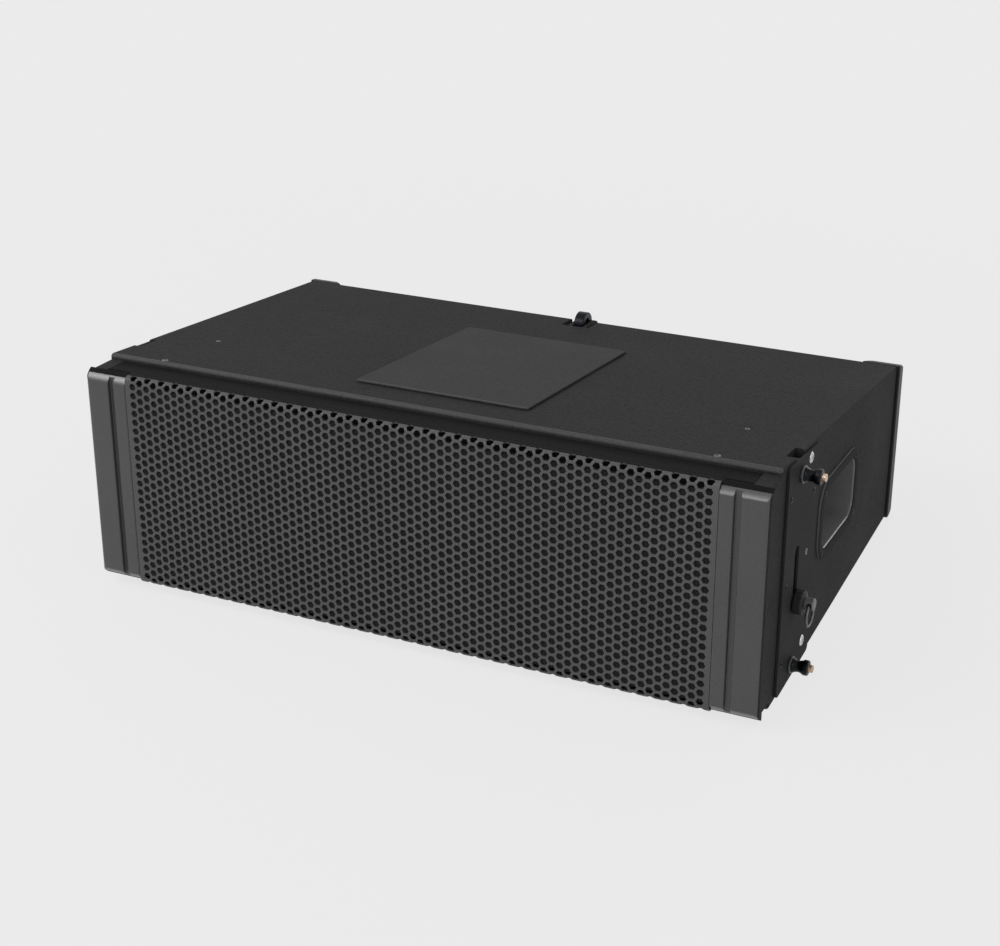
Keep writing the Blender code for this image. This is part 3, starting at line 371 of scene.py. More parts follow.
def plate(loops, plane, start, end, edge=0.0, turns=2):
    """Mesh of a flat outline with holes, extruded along the third axis with its edges rounded."""
    low, high = min(start, end), max(start, end)
    curve = bpy.data.curves.new("outline", "CURVE")
    curve.dimensions = "2D"
    curve.fill_mode = "BOTH"
    curve.bevel_depth = edge
    curve.bevel_resolution = turns
    curve.offset = -edge
    curve.extrude = (high - low) / 2 - edge
    for loop in loops:
        spline = curve.splines.new("POLY")
        spline.points.add(len(loop) - 1)
        for point, (u, v) in zip(spline.points, loop):
            point.co = (u, v, 0, 1)
        spline.use_cyclic_u = True
    work = bmesh.new()
    work.from_mesh(evaluated(helper(curve)))
    middle = (low + high) / 2
    shift = Matrix.Translation((0, 0, -middle if plane == "XZ" else middle))
    bmesh.ops.transform(work, matrix=PLANES[plane] @ shift, verts=work.verts)
    return mesh_of(work)


def block(corner, opposite):
    """Mesh of a box between two opposite corners."""
    low, high = Vector(map(min, corner, opposite)), Vector(map(max, corner, opposite))
    work = bmesh.new()
    matrix = Matrix.Translation((low + high) / 2) @ Matrix.Diagonal((*(high - low), 1))
    bmesh.ops.create_cube(work, size=1, matrix=matrix)
    return mesh_of(work)


def joined(loops, closed=False):
    """Mesh of equal rings of points joined in order; the end rings are capped, or joined to each other."""
    work = bmesh.new()
    rings = [[work.verts.new(point) for point in loop] for loop in loops]
    count = len(rings[0])
    for first, second in list(zip(rings, rings[1:])) + ([(rings[-1], rings[0])] if closed else []):
        for i in range(count):
            j = (i + 1) % count
            work.faces.new((first[i], first[j], second[j], second[i]))
    if not closed:
        work.faces.new(rings[0])
        work.faces.new(rings[-1])
    return mesh_of(work)


def turned(profile, axis, at, steps=48, flutes=0, flute_depth=0.0, flute_from=1.0):
    """Mesh of a profile of (radius, height) points turned about an axis; radii past flute_from are fluted."""
    turn = Vector((0, 0, 1)).rotation_difference(Vector(axis)).to_matrix().to_4x4()
    matrix = Matrix.Translation(at) @ turn
    point_radius = 0.01 * MM
    loops = []
    for radius, height in profile:
        loop = []
        for k in range(steps):
            angle = 2 * math.pi * k / steps
            dent = flute_depth * (0.5 + 0.5 * math.cos(flutes * angle)) if radius > flute_from else 0
            spread = max(radius - dent, point_radius)
            loop.append(matrix @ Vector((spread * math.cos(angle), spread * math.sin(angle), height)))
        loops.append(loop)
    return joined(loops, closed=profile[0] == profile[-1])


def combined(base, others, operation="DIFFERENCE"):
    """Mesh of a base mesh with other meshes cut away from it, or added to it."""
    target = helper(base)
    tools = []
    for other in others:
        tools.append(helper(other))
        step = target.modifiers.new("step", "BOOLEAN")
        step.operation = operation
        step.object = tools[-1]
        step.solver = "EXACT"
    mesh = evaluated(target)
    for tool in tools:
        bpy.data.objects.remove(tool, do_unlink=True)
    work = bmesh.new()
    work.from_mesh(mesh)
    return mesh_of(work)


def softened(mesh, width=0.0):
    """The mesh with its sharp edges rounded and its flat faces kept flat to the eye."""
    rounded_past, sharp_past = math.radians(32), math.radians(42)
    if width:
        obj = helper(mesh)
        bevel = obj.modifiers.new("rounded edges", "BEVEL")
        bevel.width = width
        bevel.segments = 3
        bevel.limit_method = "ANGLE"
        bevel.angle_limit = rounded_past
        mesh = evaluated(obj)
    mesh.shade_smooth()
    mesh.set_sharp_from_angle(angle=sharp_past)
    obj = helper(mesh)
    weights = obj.modifiers.new("flat faces", "WEIGHTED_NORMAL")
    weights.keep_sharp = True
    return evaluated(obj)


def node_copy(node):
    """A welded copy of a solid's mesh in the cabinet's frame, with its flat faces made whole."""
    flat_within = math.radians(0.5)
    work = bmesh.new()
    work.from_mesh(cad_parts[node].data)
    bmesh.ops.transform(work, matrix=UNPLACE, verts=work.verts)
    bmesh.ops.remove_doubles(work, verts=work.verts, dist=WELD)
    bmesh.ops.dissolve_limit(work, angle_limit=flat_within, verts=work.verts, edges=work.edges)
    return mesh_of(work)


def piece(name, mesh, looks, body, slot, *nodes):
    """A finished piece: its finish or finishes, the body that it rides on and the solids it stands for."""
    mesh.transform(PLACE)
    mesh.name = name
    mesh.materials.clear()
    for look in [looks] if isinstance(looks, str) else looks:
        mesh.materials.append(finish(look))
    obj = helper(mesh, name)
    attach(obj, body)
    if nodes:
        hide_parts(*nodes)
    return obj


def second_finish(obj, test, place=1):
    """Gives faces whose centre passes the test, in the cabinet's frame, another of the piece's materials."""
    for face in obj.data.polygons:
        if test(UNPLACE @ face.center):
            face.material_index = place


def dress(look, *nodes):
    """Gives solids that stay as they are a finished material."""
    for node in nodes:
        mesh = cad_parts[node].data
        mesh.materials.clear()
        mesh.materials.append(finish(look))


# Geometry Nodes

SOCKETS = {
    float: "NodeSocketFloat",
    int: "NodeSocketInt",
    bpy.types.Object: "NodeSocketObject",
    bpy.types.Material: "NodeSocketMaterial",
}


def new_tree(name, values):
    """A Geometry Nodes tree with an input for each named value, and the sockets that give them."""
    tree = bpy.data.node_groups.new(name, "GeometryNodeTree")
    for way in ("INPUT", "OUTPUT"):
        tree.interface.new_socket("Geometry", in_out=way, socket_type="NodeSocketGeometry")
    for label, value in values.items():
        tree.interface.new_socket(label, in_out="INPUT", socket_type=SOCKETS[type(value)])
    return tree, tree.nodes.new("NodeGroupInput").outputs


def run_tree(tree, geometry, material, host, values):
    """Ends the tree in real geometry with its material, and gives the mesh that it makes on the host."""
    plain = add(tree, "GeometryNodeRealizeInstances", {"Geometry": geometry})
    painted = add(tree, "GeometryNodeSetMaterial", {"Geometry": plain, "Material": material})
    add(tree, "NodeGroupOutput", {0: painted})
    modifier = host.modifiers.new(tree.name, "NODES")
    modifier.node_group = tree
    for item in tree.interface.items_tree:
        if item.name in values:
            modifier[item.identifier] = values[item.name]
    return evaluated(host)


def punched_cell(pitch, row, width, dish):
    """One cell of the flat sheet: a rectangle round a hexagonal hole whose rim is eased back."""
    radius = width / math.sqrt(3)
    turns = [math.radians(60 * k) for k in range(6)]
    corners = [Vector((radius * math.sin(a), radius * math.cos(a))) for a in turns]
    inner = []
    for corner, following in zip(corners, corners[1:] + corners[:1]):
        inner += [corner, (corner + following) / 2]
    x, z = pitch / 2, row / 2
    outer = [(0, z), (x / 2, z), (x, z), (x, 0), (x, -z), (x / 2, -z)]
    outer += [(-u, -v) for u, v in outer]
    work = bmesh.new()
    rim = [work.verts.new((u, v, -dish)) for u, v in inner]
    edge = [work.verts.new((u, v, 0)) for u, v in outer]
    for k in range(len(rim)):
        work.faces.new((rim[k - 1], rim[k], edge[k], edge[k - 1]))
    bmesh.ops.recalc_face_normals(work, faces=work.faces)
    if work.faces[:][0].normal.z < 0:
        bmesh.ops.reverse_faces(work, faces=work.faces)
    mesh = bpy.data.meshes.new("punched cell")
    work.to_mesh(mesh)
    work.free()
    return mesh


# Sums of the grille's tree: each line names a result, its operation and its terms. The flat sheet lies with
# its columns along x. The first lines shift every second column and find the hole pushed off its end.
GRILLE_SUMS = (
    ("column", "MODULO", "index", "Columns"),
    ("odd", "MODULO", "column", 2.0),
    ("shift", "MULTIPLY", "odd", "Half pitch"),
    ("off the end", "GREATER_THAN", "x", "Last hole"),
    # The fold: a point's run past the flat part turns about the bend, and what is left goes straight back
    ("rise", "ABSOLUTE", "x"),
    ("run", "SUBTRACT", "rise", "Flat half"),
    ("run past flat", "MAXIMUM", "run", 0.0),
    ("run in bend", "MINIMUM", "run past flat", "Bend length"),
    ("turn", "DIVIDE", "run in bend", "Middle radius"),
    ("radius", "ADD", "Bend radius", "z"),
    ("cosine", "COSINE", "turn"),
    ("forward", "MULTIPLY", "radius", "cosine"),
    ("bend depth", "SUBTRACT", "Bend centre", "forward"),
    ("run past bend", "SUBTRACT", "run", "Bend length"),
    ("straight back", "MAXIMUM", "run past bend", 0.0),
    ("depth", "ADD", "bend depth", "straight back"),
    ("flat rise", "MINIMUM", "rise", "Flat half"),
    ("sine", "SINE", "turn"),
    ("upward", "MULTIPLY", "radius", "sine"),
    ("height", "ADD", "flat rise", "upward"),
    ("end", "SIGN", "x"),
    ("up", "MULTIPLY", "end", "height"),
    ("across", "MULTIPLY", "y", -1.0),
)

# Flat sheets of the grille, each as a grid of places, the grid laid there and the places that it takes: the
# flanges, the borders, the corners, and the blanks that fill the ends of the shifted columns
GRID = ("Size X", "Size Y", "Vertices X", "Vertices Y")
GRILLE_SHEETS = (
    (("Flange span", 0.0, 2, 1), ("Flange", "Width", 3, "Flange points"), True),
    ((0.0, "Border span", 1, 2), ("Height", "Border", "Border points", 2), True),
    (("Flange span", "Border span", 2, 2), ("Flange", "Border", 3, 2), True),
    (("Blank span", "Column span", 2, "Columns"), ("Half pitch", "Column pitch", 3, 3), "odd"),
)


def grille_mesh(values):
    """Punched sheet: staggered columns of holes, plain borders, thickness, and folded long edges."""
    tree, given = new_tree("punched and folded sheet", values)
    known = {label: given[label] for label in values}
    known["index"] = add(tree, "GeometryNodeInputIndex")
    position = add(tree, "GeometryNodeInputPosition")
    known |= zip("xyz", add(tree, "ShaderNodeSeparateXYZ", {0: position}).outputs)
    for name, operation, *terms in GRILLE_SUMS:
        inputs = {i: known.get(term, term) for i, term in enumerate(terms)}
        known[name] = add(tree, "ShaderNodeMath", inputs, operation=operation)
    weld = {"Distance": 0.02 * MM}

    holes = dict(zip(GRID, (known[k] for k in ("Hole span", "Column span", "Holes", "Columns"))))
    points = add(tree, "GeometryNodeMeshGrid", holes)
    offset = add(tree, "ShaderNodeCombineXYZ", {0: known["shift"]})
    shifted = add(tree, "GeometryNodeSetPosition", {"Geometry": points, "Offset": offset})
    kept = add(tree, "GeometryNodeDeleteGeometry", {"Geometry": shifted, "Selection": known["off the end"]})
    cell = add(tree, "GeometryNodeObjectInfo", {"Object": known["Cell"]}).outputs["Geometry"]
    cells = add(tree, "GeometryNodeInstanceOnPoints", {"Points": kept, "Instance": cell})
    flat = add(tree, "GeometryNodeJoinGeometry", {0: cells})
    for *grids, taken in GRILLE_SHEETS:
        sizes = [dict(zip(GRID, (known.get(term, term) for term in terms))) for terms in grids]
        places, laid = (add(tree, "GeometryNodeMeshGrid", each) for each in sizes)
        inputs = {"Points": places, "Instance": laid, "Selection": known.get(taken, taken)}
        feed(tree, flat, {0: add(tree, "GeometryNodeInstanceOnPoints", inputs)})

    real = add(tree, "GeometryNodeRealizeInstances", {"Geometry": flat})
    front = add(tree, "GeometryNodeMergeByDistance", {"Geometry": real, **weld})
    # The way back comes from a node, because a bare offset stands for the faces' own facing
    way = add(tree, "ShaderNodeCombineXYZ", {2: -1.0})
    inputs = {"Mesh": front, "Offset": way, "Offset Scale": known["Sheet"], "Individual": False}
    back = add(tree, "GeometryNodeExtrudeMesh", inputs, mode="FACES")
    inside = add(tree, "GeometryNodeFlipFaces", {0: back})
    shell = add(tree, "GeometryNodeJoinGeometry", {0: front})
    feed(tree, shell, {0: inside})
    solid = add(tree, "GeometryNodeMergeByDistance", {"Geometry": shell, **weld})
    folded = add(tree, "ShaderNodeCombineXYZ", {0: known["across"], 1: known["depth"], 2: known["up"]})
    bent = add(tree, "GeometryNodeSetPosition", {"Geometry": solid, "Position": folded})
    return run_tree(tree, bent, given["Material"], helper(bpy.data.meshes.new("sheet")), values)


def screw_mesh(marks, values):
    """Screws on marks: each stands along its mark's facing, at its mark's size, turned at random."""
    tree, given = new_tree("screws on marks", values)
    facing = add(tree, "GeometryNodeInputNamedAttribute", {"Name": "facing"}, data_type="FLOAT_VECTOR")
    size = add(tree, "GeometryNodeInputNamedAttribute", {"Name": "size"}, data_type="FLOAT")
    full_turn = 6.28
    inputs = {2: 0.0, 3: full_turn, "Seed": given["Seed"]}
    spin = add(tree, "FunctionNodeRandomValue", inputs, data_type="FLOAT")
    own = add(tree, "ShaderNodeCombineXYZ", {2: spin.outputs[1]})
    upright = add(tree, "FunctionNodeAlignRotationToVector", {"Vector": facing}, axis="Z")
    turn = add(tree, "FunctionNodeRotateRotation", {0: upright, 1: own}, rotation_space="LOCAL")
    screw = add(tree, "GeometryNodeObjectInfo", {"Object": given["Screw"]}).outputs["Geometry"]
    inputs = {"Points": given["Geometry"], "Instance": screw, "Rotation": turn, "Scale": size}
    placed = add(tree, "GeometryNodeInstanceOnPoints", inputs)
    return run_tree(tree, placed, given["Material"], marks, values)


# Settings that a user would change


class CabinetSettings(bpy.types.PropertyGroup):
    edge: bpy.props.FloatProperty(
        name="Edge radius", description="Radius of the box's painted edges", default=3 * MM, unit="LENGTH"
    )
    cover_edge: bpy.props.FloatProperty(
        name="Cover edge", description="Radius of the raised cover's edges", default=1 * MM, unit="LENGTH"
    )


class FrontSettings(bpy.types.PropertyGroup):
    pitch: bpy.props.FloatProperty(
        name="Hole pitch", description="Distance between holes in a column", default=10.27 * MM, unit="LENGTH"
    )
    hole: bpy.props.FloatProperty(
        name="Hole width", description="Width of a hole across its flats", default=7.4 * MM, unit="LENGTH"
    )
    holes: bpy.props.IntProperty(name="Holes", description="Holes in a column", default=25, min=3)
    sheet: bpy.props.FloatProperty(
        name="Sheet", description="Thickness of the grille's steel", default=1.5 * MM, unit="LENGTH"
    )
    bend: bpy.props.FloatProperty(
        name="Bend radius", description="Outer radius of the grille's fold", default=8 * MM, unit="LENGTH"
    )
    trim_edge: bpy.props.FloatProperty(
        name="Trim edge", description="Radius of the trim's outer edge", default=5 * MM, unit="LENGTH"
    )


class RiggingSettings(bpy.types.PropertyGroup):
    steps: bpy.props.IntProperty(
        name="Turning steps", description="Sides of turned pieces", default=48, min=12
    )
    flutes: bpy.props.IntProperty(
        name="Knob flutes", description="Flutes round a lift knob", default=16, min=0
    )
    screw_seed: bpy.props.IntProperty(name="Screw seed", description="Seed of the screws' turn", default=7)


class StageSettings(bpy.types.PropertyGroup):
    backdrop: bpy.props.FloatVectorProperty(
        name="Backdrop", description="Colour behind the object", default=linear("ebebeb")[:3], subtype="COLOR"
    )
    ambient: bpy.props.FloatProperty(
        name="Ambient", description="Level of the even light", default=0.6, min=0
    )
    key: bpy.props.FloatProperty(
        name="Key light", description="Power of the main lamp", default=30, unit="POWER"
    )
    fill: bpy.props.FloatProperty(
        name="Fill light", description="Power of the side lamp", default=6, unit="POWER"
    )
    back: bpy.props.FloatProperty(
        name="Back light", description="Power of the rear lamp", default=10, unit="POWER"
    )
    shade: bpy.props.FloatProperty(
        name="Floor shade",
        description="Share of the floor's own shading that the camera sees",
        default=0.1,
        min=0,
        max=1,
    )
    camera: bpy.props.FloatVectorProperty(
        name="Camera",
        description="Place of the camera",
        default=(0.8552, -1.8033, 0.9510),
        subtype="TRANSLATION",
    )
    aim: bpy.props.FloatVectorProperty(
        name="Aim",
        description="Elevation, roll and azimuth of the camera",
        default=tuple(math.radians(a) for a in (22.855, 0, 25.557)),
        subtype="EULER",
    )
    lens: bpy.props.FloatProperty(
        name="Lens", description="Focal length on a 36 mm sensor", default=68.03, min=1
    )


class LoudspeakerSettings(bpy.types.PropertyGroup):
    cabinet: bpy.props.PointerProperty(type=CabinetSettings)
    front: bpy.props.PointerProperty(type=FrontSettings)
    rigging: bpy.props.PointerProperty(type=RiggingSettings)
    stage: bpy.props.PointerProperty(type=StageSettings)


# Operators


def handle_loop(grow, x, sign=1):
    """Points of the handle's rounded opening, grown by an offset, at a place across the cabinet."""
    spread = Vector((grow, grow))
    corners = rectangle(*(HANDLE_LOW - spread), *(HANDLE_HIGH + spread))
    least_round = 4 * MM
    radius = max(HANDLE_ROUND + grow, least_round)
    return [Vector((sign * x, y, z)) for y, z in rounded(corners, radius, steps=8)]


class LOUDSPEAKER_OT_cabinet(bpy.types.Operator):
    """Painted box with its openings, front rails, rear board and raised cover"""

    bl_idname = "loudspeaker.cabinet"
    bl_label = "Cabinet"

    def execute(self, context):
        settings = context.scene.loudspeaker.cabinet
        rail_edge = 0.8 * MM
        self.build_box(settings.edge)
        for name in ("top_front_rail", "bottom_front_rail"):
            mesh = softened(node_copy(name), rail_edge)
            piece(f"{name}_painted", mesh, "black rolled paint", "cabinet", "cabinet_paint", name)
        self.build_cover(settings.cover_edge)
        dress("sprayed polyurea paint", "rear_panel")
        return {"FINISHED"}

    def build_box(self, edge):
        """The boards as one painted body with a stepped and tapered section, and a painted highlight along its
        front edges.
        """
        rear, front = (BODY_REAR, roof(BODY_REAR)), (BODY_FRONT, FRONT_HALF)
        points = mirrored([rear, (STEP_Y, BOX_HALF), (STEP_Y, FRONT_HALF), front])
        rear_round = edge + 0.5 * MM
        corners = {2: FRONT_ROUND, 3: rear_round, 4: rear_round, 5: FRONT_ROUND}
        box = plate([rounded(points, corners)], "YZ", -SIDE_OUT, SIDE_OUT, edge, 3)
        mesh = softened(combined(box, self.openings()))
        boards = ("top_panel", "bottom_panel", "left_side_panel", "right_side_panel")
        paints = ("sprayed polyurea paint", "polyurea paint with painted highlight")
        made = piece("cabinet_box", mesh, paints, "cabinet", "cabinet_paint", *boards)
        # The faces round the front edges take the paler paint, a painted highlight
        second_finish(made, lambda c: c.y < STEP_Y + FRONT_ROUND and abs(c.z) > BOX_HALF - FRONT_ROUND)

    def openings(self):
        """Cutters of the inside, open front and rear notch, and of each side's groove, handle and pins."""
        lead, groove_deep, groove_half = 6 * MM, 10 * MM, LINK_HALF + 0.5 * MM
        notch_half, notch_front = 17.5 * MM, 442 * MM
        tall = BOX_HALF + PAST
        front, rear = STEP_Y - lead, BODY_REAR + PAST
        # The open front's cutter stays clear of the hollow's walls, because shared faces upset the cut
        clear_x, clear_y = SIDE_IN - 0.02 * MM, STEP_Y - 0.05 * MM
        hollow = [(front, roof(front) - WALL), (rear, roof(rear) - WALL)]
        hollow += [(y, -z) for y, z in reversed(hollow)]
        cutters = [
            plate([hollow], "YZ", -SIDE_IN, SIDE_IN),
            block((-clear_x, 0, -tall), (clear_x, clear_y, tall)),
            block((-notch_half, notch_front, -tall), (notch_half, rear + PAST, tall)),
        ]
        bore = [(PIN_BORE, -PAST), (PIN_BORE, SIDE_OUT - SIDE_IN + PAST)]
        for _, sign in SIDES:
            floor, out = sign * (SIDE_OUT - groove_deep), sign * (SIDE_OUT + PAST)
            cutters.append(block((floor, RIG_Y - groove_half, -tall), (out, RIG_Y + groove_half, tall)))
            cutters.append(joined([handle_loop(0, x, sign) for x in (SIDE_IN - PAST, SIDE_OUT + PAST)]))
            for z in (PIN_Z, -PIN_Z):
                cutters.append(turned(bore, (sign, 0, 0), (sign * SIDE_IN, RIG_Y, z), 24))
        return cutters

    def build_cover(self, edge):
        """The raised cover on the tapered top, with a painted highlight along its front edge."""
        corner, thick, highlight_band = 3 * MM, 3 * MM, 2 * MM
        low, high = local_box("top_cover_plate")
        outline = rounded(rectangle(low.x, 0, high.x, (high.y - low.y) / math.cos(TAPER)), corner)
        mesh = softened(plate([outline], "XY", GAP, thick, edge))
        mesh.transform(Matrix.Translation((0, low.y, roof(low.y))) @ Matrix.Rotation(-TAPER, 4, "X"))
        paints = ("rolled polyurea paint", "polyurea paint with painted highlight")
        made = piece("top_cover", mesh, paints, "cabinet", "cabinet_paint", "top_cover_plate")
        # A band along the front edge takes the paler paint, a painted highlight
        second_finish(made, lambda c: c.y < low.y + highlight_band)


class LOUDSPEAKER_OT_trims(bpy.types.Operator):
    """Grey trims beside the grille, with their groove and rounded ends"""

    bl_idname = "loudspeaker.trims"
    bl_label = "Front trims"

    def execute(self, context):
        outer = context.scene.loudspeaker.front.trim_edge
        deep = local_box("right_front_trim")[1].y
        ease, root, sink = 1.5 * MM, 1 * MM, 5 * MM
        groove_in, groove_out = TRIM_EDGE + 15 * MM, TRIM_EDGE + 22 * MM
        points = [(TRIM_EDGE, deep), (TRIM_EDGE, 0), (groove_in, 0), (groove_in, sink)]
        points += [(groove_out, sink), (groove_out, 0), (HALF, 0), (HALF, deep)]
        section = rounded(points, {1: ease, 2: ease, 3: root, 4: root, 5: ease, 6: outer})
        # The ends curve between a circle, at a power of 1, and a straight slope, at 2
        end, power, steps = 11 * MM, 1.7, 12
        turns = [math.pi / 2 * k / steps for k in range(steps + 1)]
        rises = [FRONT_HALF - end + end * math.sin(a) ** power for a in turns]
        backs = [end - end * math.cos(a) ** power for a in turns]
        stations = list(zip(rises, backs))
        stations = [(-z, back) for z, back in reversed(stations)] + stations
        shaded_side_skin, shaded_end_skin = 1.2 * MM, 4 * MM
        paints = ("grey powder coat", "sprayed polyurea paint", "black rolled paint")
        for side, sign in SIDES:
            loops = [[Vector((sign * x, max(y, back), z)) for x, y in section] for z, back in stations]
            mesh = softened(joined(loops))
            made = piece(f"{side}_trim", mesh, paints, "cabinet", "trim_paint", f"{side}_front_trim")
            # The outer sides, out past the middle of the rounded outer edge, take the box's dull paint:
            # painted shade that keeps these edges dark
            second_finish(made, lambda c: abs(c.x) > HALF - shaded_side_skin)
            # The top of each end takes the black paint: painted shade above the end's highlight
            second_finish(made, lambda c: abs(c.z) > FRONT_HALF - shaded_end_skin, 2)
        return {"FINISHED"}


class LOUDSPEAKER_OT_grille(bpy.types.Operator):
    """Punched steel grille with hexagonal holes, folded back over the rails"""

    bl_idname = "loudspeaker.grille"
    bl_label = "Grille"

    def execute(self, context):
        settings = context.scene.loudspeaker.front
        low, high = local_box("front_grille")
        pitch, bend, holes = settings.pitch, settings.bend, settings.holes
        step = pitch * math.sqrt(3) / 2
        columns = int((high.x - low.x) / step) - 1
        height, width = holes * pitch, columns * step
        border = (high.x - low.x - width) / 2
        flat, middle = high.z - bend, bend - settings.sheet / 2
        bend_length = middle * math.pi / 2
        flange = flat + bend_length + high.y - low.y - bend - height / 2
        rim_dish, shaded_fold_top = 0.15 * MM, 0.4 * MM
        cell = helper(punched_cell(pitch, step, settings.hole, rim_dish))
        values = {
            "Cell": cell,
            "Holes": holes,
            "Columns": columns,
            "Half pitch": pitch / 2,
            "Column pitch": step,
            "Hole span": height - pitch,
            "Blank span": height - pitch / 2,
            "Column span": width - step,
            "Last hole": (height - pitch / 2) / 2,
            "Height": height,
            "Width": width,
            "Border": border,
            "Border span": width + border,
            "Border points": 4 * holes + 1,
            "Flange": flange,
            "Flange span": height + flange,
            "Flange points": 2 * columns + 1,
            "Sheet": settings.sheet,
            "Flat half": flat,
            "Bend radius": bend,
            "Middle radius": middle,
            "Bend length": bend_length,
            "Bend centre": low.y + bend,
            "Material": finish("satin powder coat"),
        }
        mesh = grille_mesh(values)
        bpy.data.objects.remove(cell, do_unlink=True)
        mesh.shade_smooth()
        mesh.set_sharp_from_angle(angle=SHARP)
        paints = ("satin powder coat", "black rolled paint")
        made = piece("grille_sheet", mesh, paints, "cabinet", "grille_paint", "front_grille")
        # The fold's upper part takes the black paint: painted shade where the fold turns back
        second_finish(made, lambda c: abs(c.z) > high.z - shaded_fold_top)
        return {"FINISHED"}


class LOUDSPEAKER_OT_foam(bpy.types.Operator):
    """Black foam sheet behind the grille"""

    bl_idname = "loudspeaker.foam"
    bl_label = "Foam"

    def execute(self, context):
        corner, edge = 4 * MM, 1.5 * MM
        low, high = local_box("grille_foam")
        outline = rounded(rectangle(low.x, low.z, high.x, high.z), corner)
        mesh = softened(plate([outline], "XZ", low.y, high.y, edge))
        foam = piece("foam_sheet", mesh, "reticulated foam", "cabinet", "foam", "grille_foam")
        return {"FINISHED"}


class LOUDSPEAKER_OT_handles(bpy.types.Operator):
    """Moulded handle cups set into the sides"""

    bl_idname = "loudspeaker.handles"
    bl_label = "Handles"

    def execute(self, context):
        low, high = local_box("right_handle_cup")
        floor, face = low.x / MM, high.x / MM
        seat, inner = (SIDE_OUT + GAP) / MM, floor + 3
        # In millimetres: how far each ring lies outside the opening, and its place across the cabinet
        body = [(-0.3, floor), (-0.3, seat)]
        flange = [(10, seat), (10, face - 1), (9.7, face - 0.3), (9, face)]
        lip = [(1.5, face), (-0.4, face - 0.4), (-2, face - 1.6), (-2.8, face - 3.6)]
        bowl = [(-4.5, inner + 9), (-5.6, inner + 4), (-8, inner + 1.2), (-12, inner)]
        rings = mm(body + flange + lip + bowl)
        flange_skin = 1.2 * MM
        # The cup's inside is paled as painted light in the recess; its flange takes the dull black
        looks = ("polished ABS paled as painted light", "grained black ABS")
        for side, sign in SIDES:
            mesh = softened(joined([handle_loop(grow, x, sign) for grow, x in rings]))
            made = piece(f"{side}_handle", mesh, looks, "cabinet", "handle_black", f"{side}_handle_cup")
            second_finish(made, lambda c: abs(c.x) > high.x - flange_skin)
        return {"FINISHED"}


class LOUDSPEAKER_OT_skids(bpy.types.Operator):
    """Moulded skids at the rear corners"""

    bl_idname = "loudspeaker.skids"
    bl_label = "Rear skids"

    def execute(self, context):
        edge = 1.5 * MM
        for side, _ in SIDES:
            node = f"{side}_rear_skid"
            mesh = softened(node_copy(node), edge)
            piece(f"{side}_skid", mesh, "moulded black nylon", "cabinet", "skid_black", node)
        return {"FINISHED"}


class LOUDSPEAKER_OT_plates(bpy.types.Operator):
    """Rigging plates over the link grooves, with pin holes and the knob's slot"""

    bl_idname = "loudspeaker.plates"
    bl_label = "Rigging plates"

    def execute(self, context):
        inset, corner, slot_half, edge = 4 * MM, 6 * MM, 6.5 * MM, 0.5 * MM
        low, high = local_box("right_rigging_plate")
        corners = mirrored([(y, roof(y) - inset) for y in (high.y, low.y)])
        loops = [rounded(corners, corner)]
        loops += [circle(RIG_Y, z, PIN_BORE) for z in (PIN_Z, -PIN_Z)]
        loops.append(upright_slot(RIG_Y, KNOB_Z, KNOB_Z + LINK_TRAVEL, slot_half))
        for side, sign in SIDES:
            mesh = softened(plate(loops, "YZ", sign * low.x, sign * high.x, edge))
            node = f"{side}_rigging_plate"
            piece(f"{side}_plate", mesh, "black powder coat", "cabinet", "black_steel", node)
        return {"FINISHED"}


class LOUDSPEAKER_OT_links(bpy.types.Operator):
    """Link bars in their grooves, with fluted lift knobs"""

    bl_idname = "loudspeaker.links"
    bl_label = "Links and knobs"

    def execute(self, context):
        settings = context.scene.loudspeaker.rigging
        tail, slot_half, shank_hole, edge = 6 * MM, 5.5 * MM, 4.3 * MM, 0.8 * MM
        low, high = local_box("right_link_bar")
        loops = [
            upright_slot(RIG_Y, KNOB_Z - tail, PIN_Z, LINK_HALF),
            upright_slot(RIG_Y, PIN_Z - GAP - LINK_TRAVEL, PIN_Z, slot_half),
            circle(RIG_Y, KNOB_Z, shank_hole),
        ]
        for side, sign in SIDES:
            body = f"{side}_link"
            mesh = softened(plate(loops, "YZ", sign * low.x, sign * high.x, edge))
            piece(f"{side}_bar", mesh, "black oxide steel", body, "black_steel", f"{side}_link_bar")
            self.build_knob(side, sign, body, settings.steps * 2, settings.flutes)
        return {"FINISHED"}

    def build_knob(self, side, sign, body, steps, flutes):
        """A knob with a shank into the bar, a fluted skirt and a bright stem that is bored for the ring."""
        # The profile's radii and heights are in millimetres
        shank, neck, skirt, stem, tall = 4, 6, 13, 6.5, 21.5
        ease, crown, skirt_foot, skirt_top, dome = 1.5, 1.2, 1, 9, 12
        face = (SIDE_OUT - HALF) / MM - 0.5
        foot, seat = face - 8, face + 0.3
        profile = [(0, foot), (shank, foot), (shank, seat), (neck, seat), (neck, skirt_foot)]
        profile += arc((skirt - ease, skirt_foot + ease), ease, -90, 0, 4)
        profile += arc((skirt - ease, skirt_top), ease, 0, 70, 4)
        profile += [(9.5, dome - 0.4), (7.2, dome), (stem, dome + 0.4), (stem, 20)]
        profile += [*arc((stem - crown, tall - crown), crown, 0, 90, 4), (0, tall)]
        at = (sign * HALF, RIG_Y, KNOB_Z)
        flute_depth, flute_from = 0.9 * MM, 12 * MM
        knob = turned(mm(profile), (sign, 0, 0), at, steps, flutes, flute_depth, flute_from)
        hole_at, hole_half, hole = 407 * MM, 20 * MM, 3.2 * MM
        bore = [(hole, 0), (hole, 2 * hole_half)]
        cutter = turned(bore, (0, 1, 0), (sign * hole_at, RIG_Y - hole_half, KNOB_Z), 24)
        mesh = softened(combined(knob, [cutter]))
        looks = ("moulded black nylon", "worn zinc plate")
        made = piece(f"{side}_knob", mesh, looks, body, "knob_black", f"{side}_lift_knob")
        stem_foot = HALF + (dome + 0.2) * MM
        second_finish(made, lambda c: abs(c.x) > stem_foot)


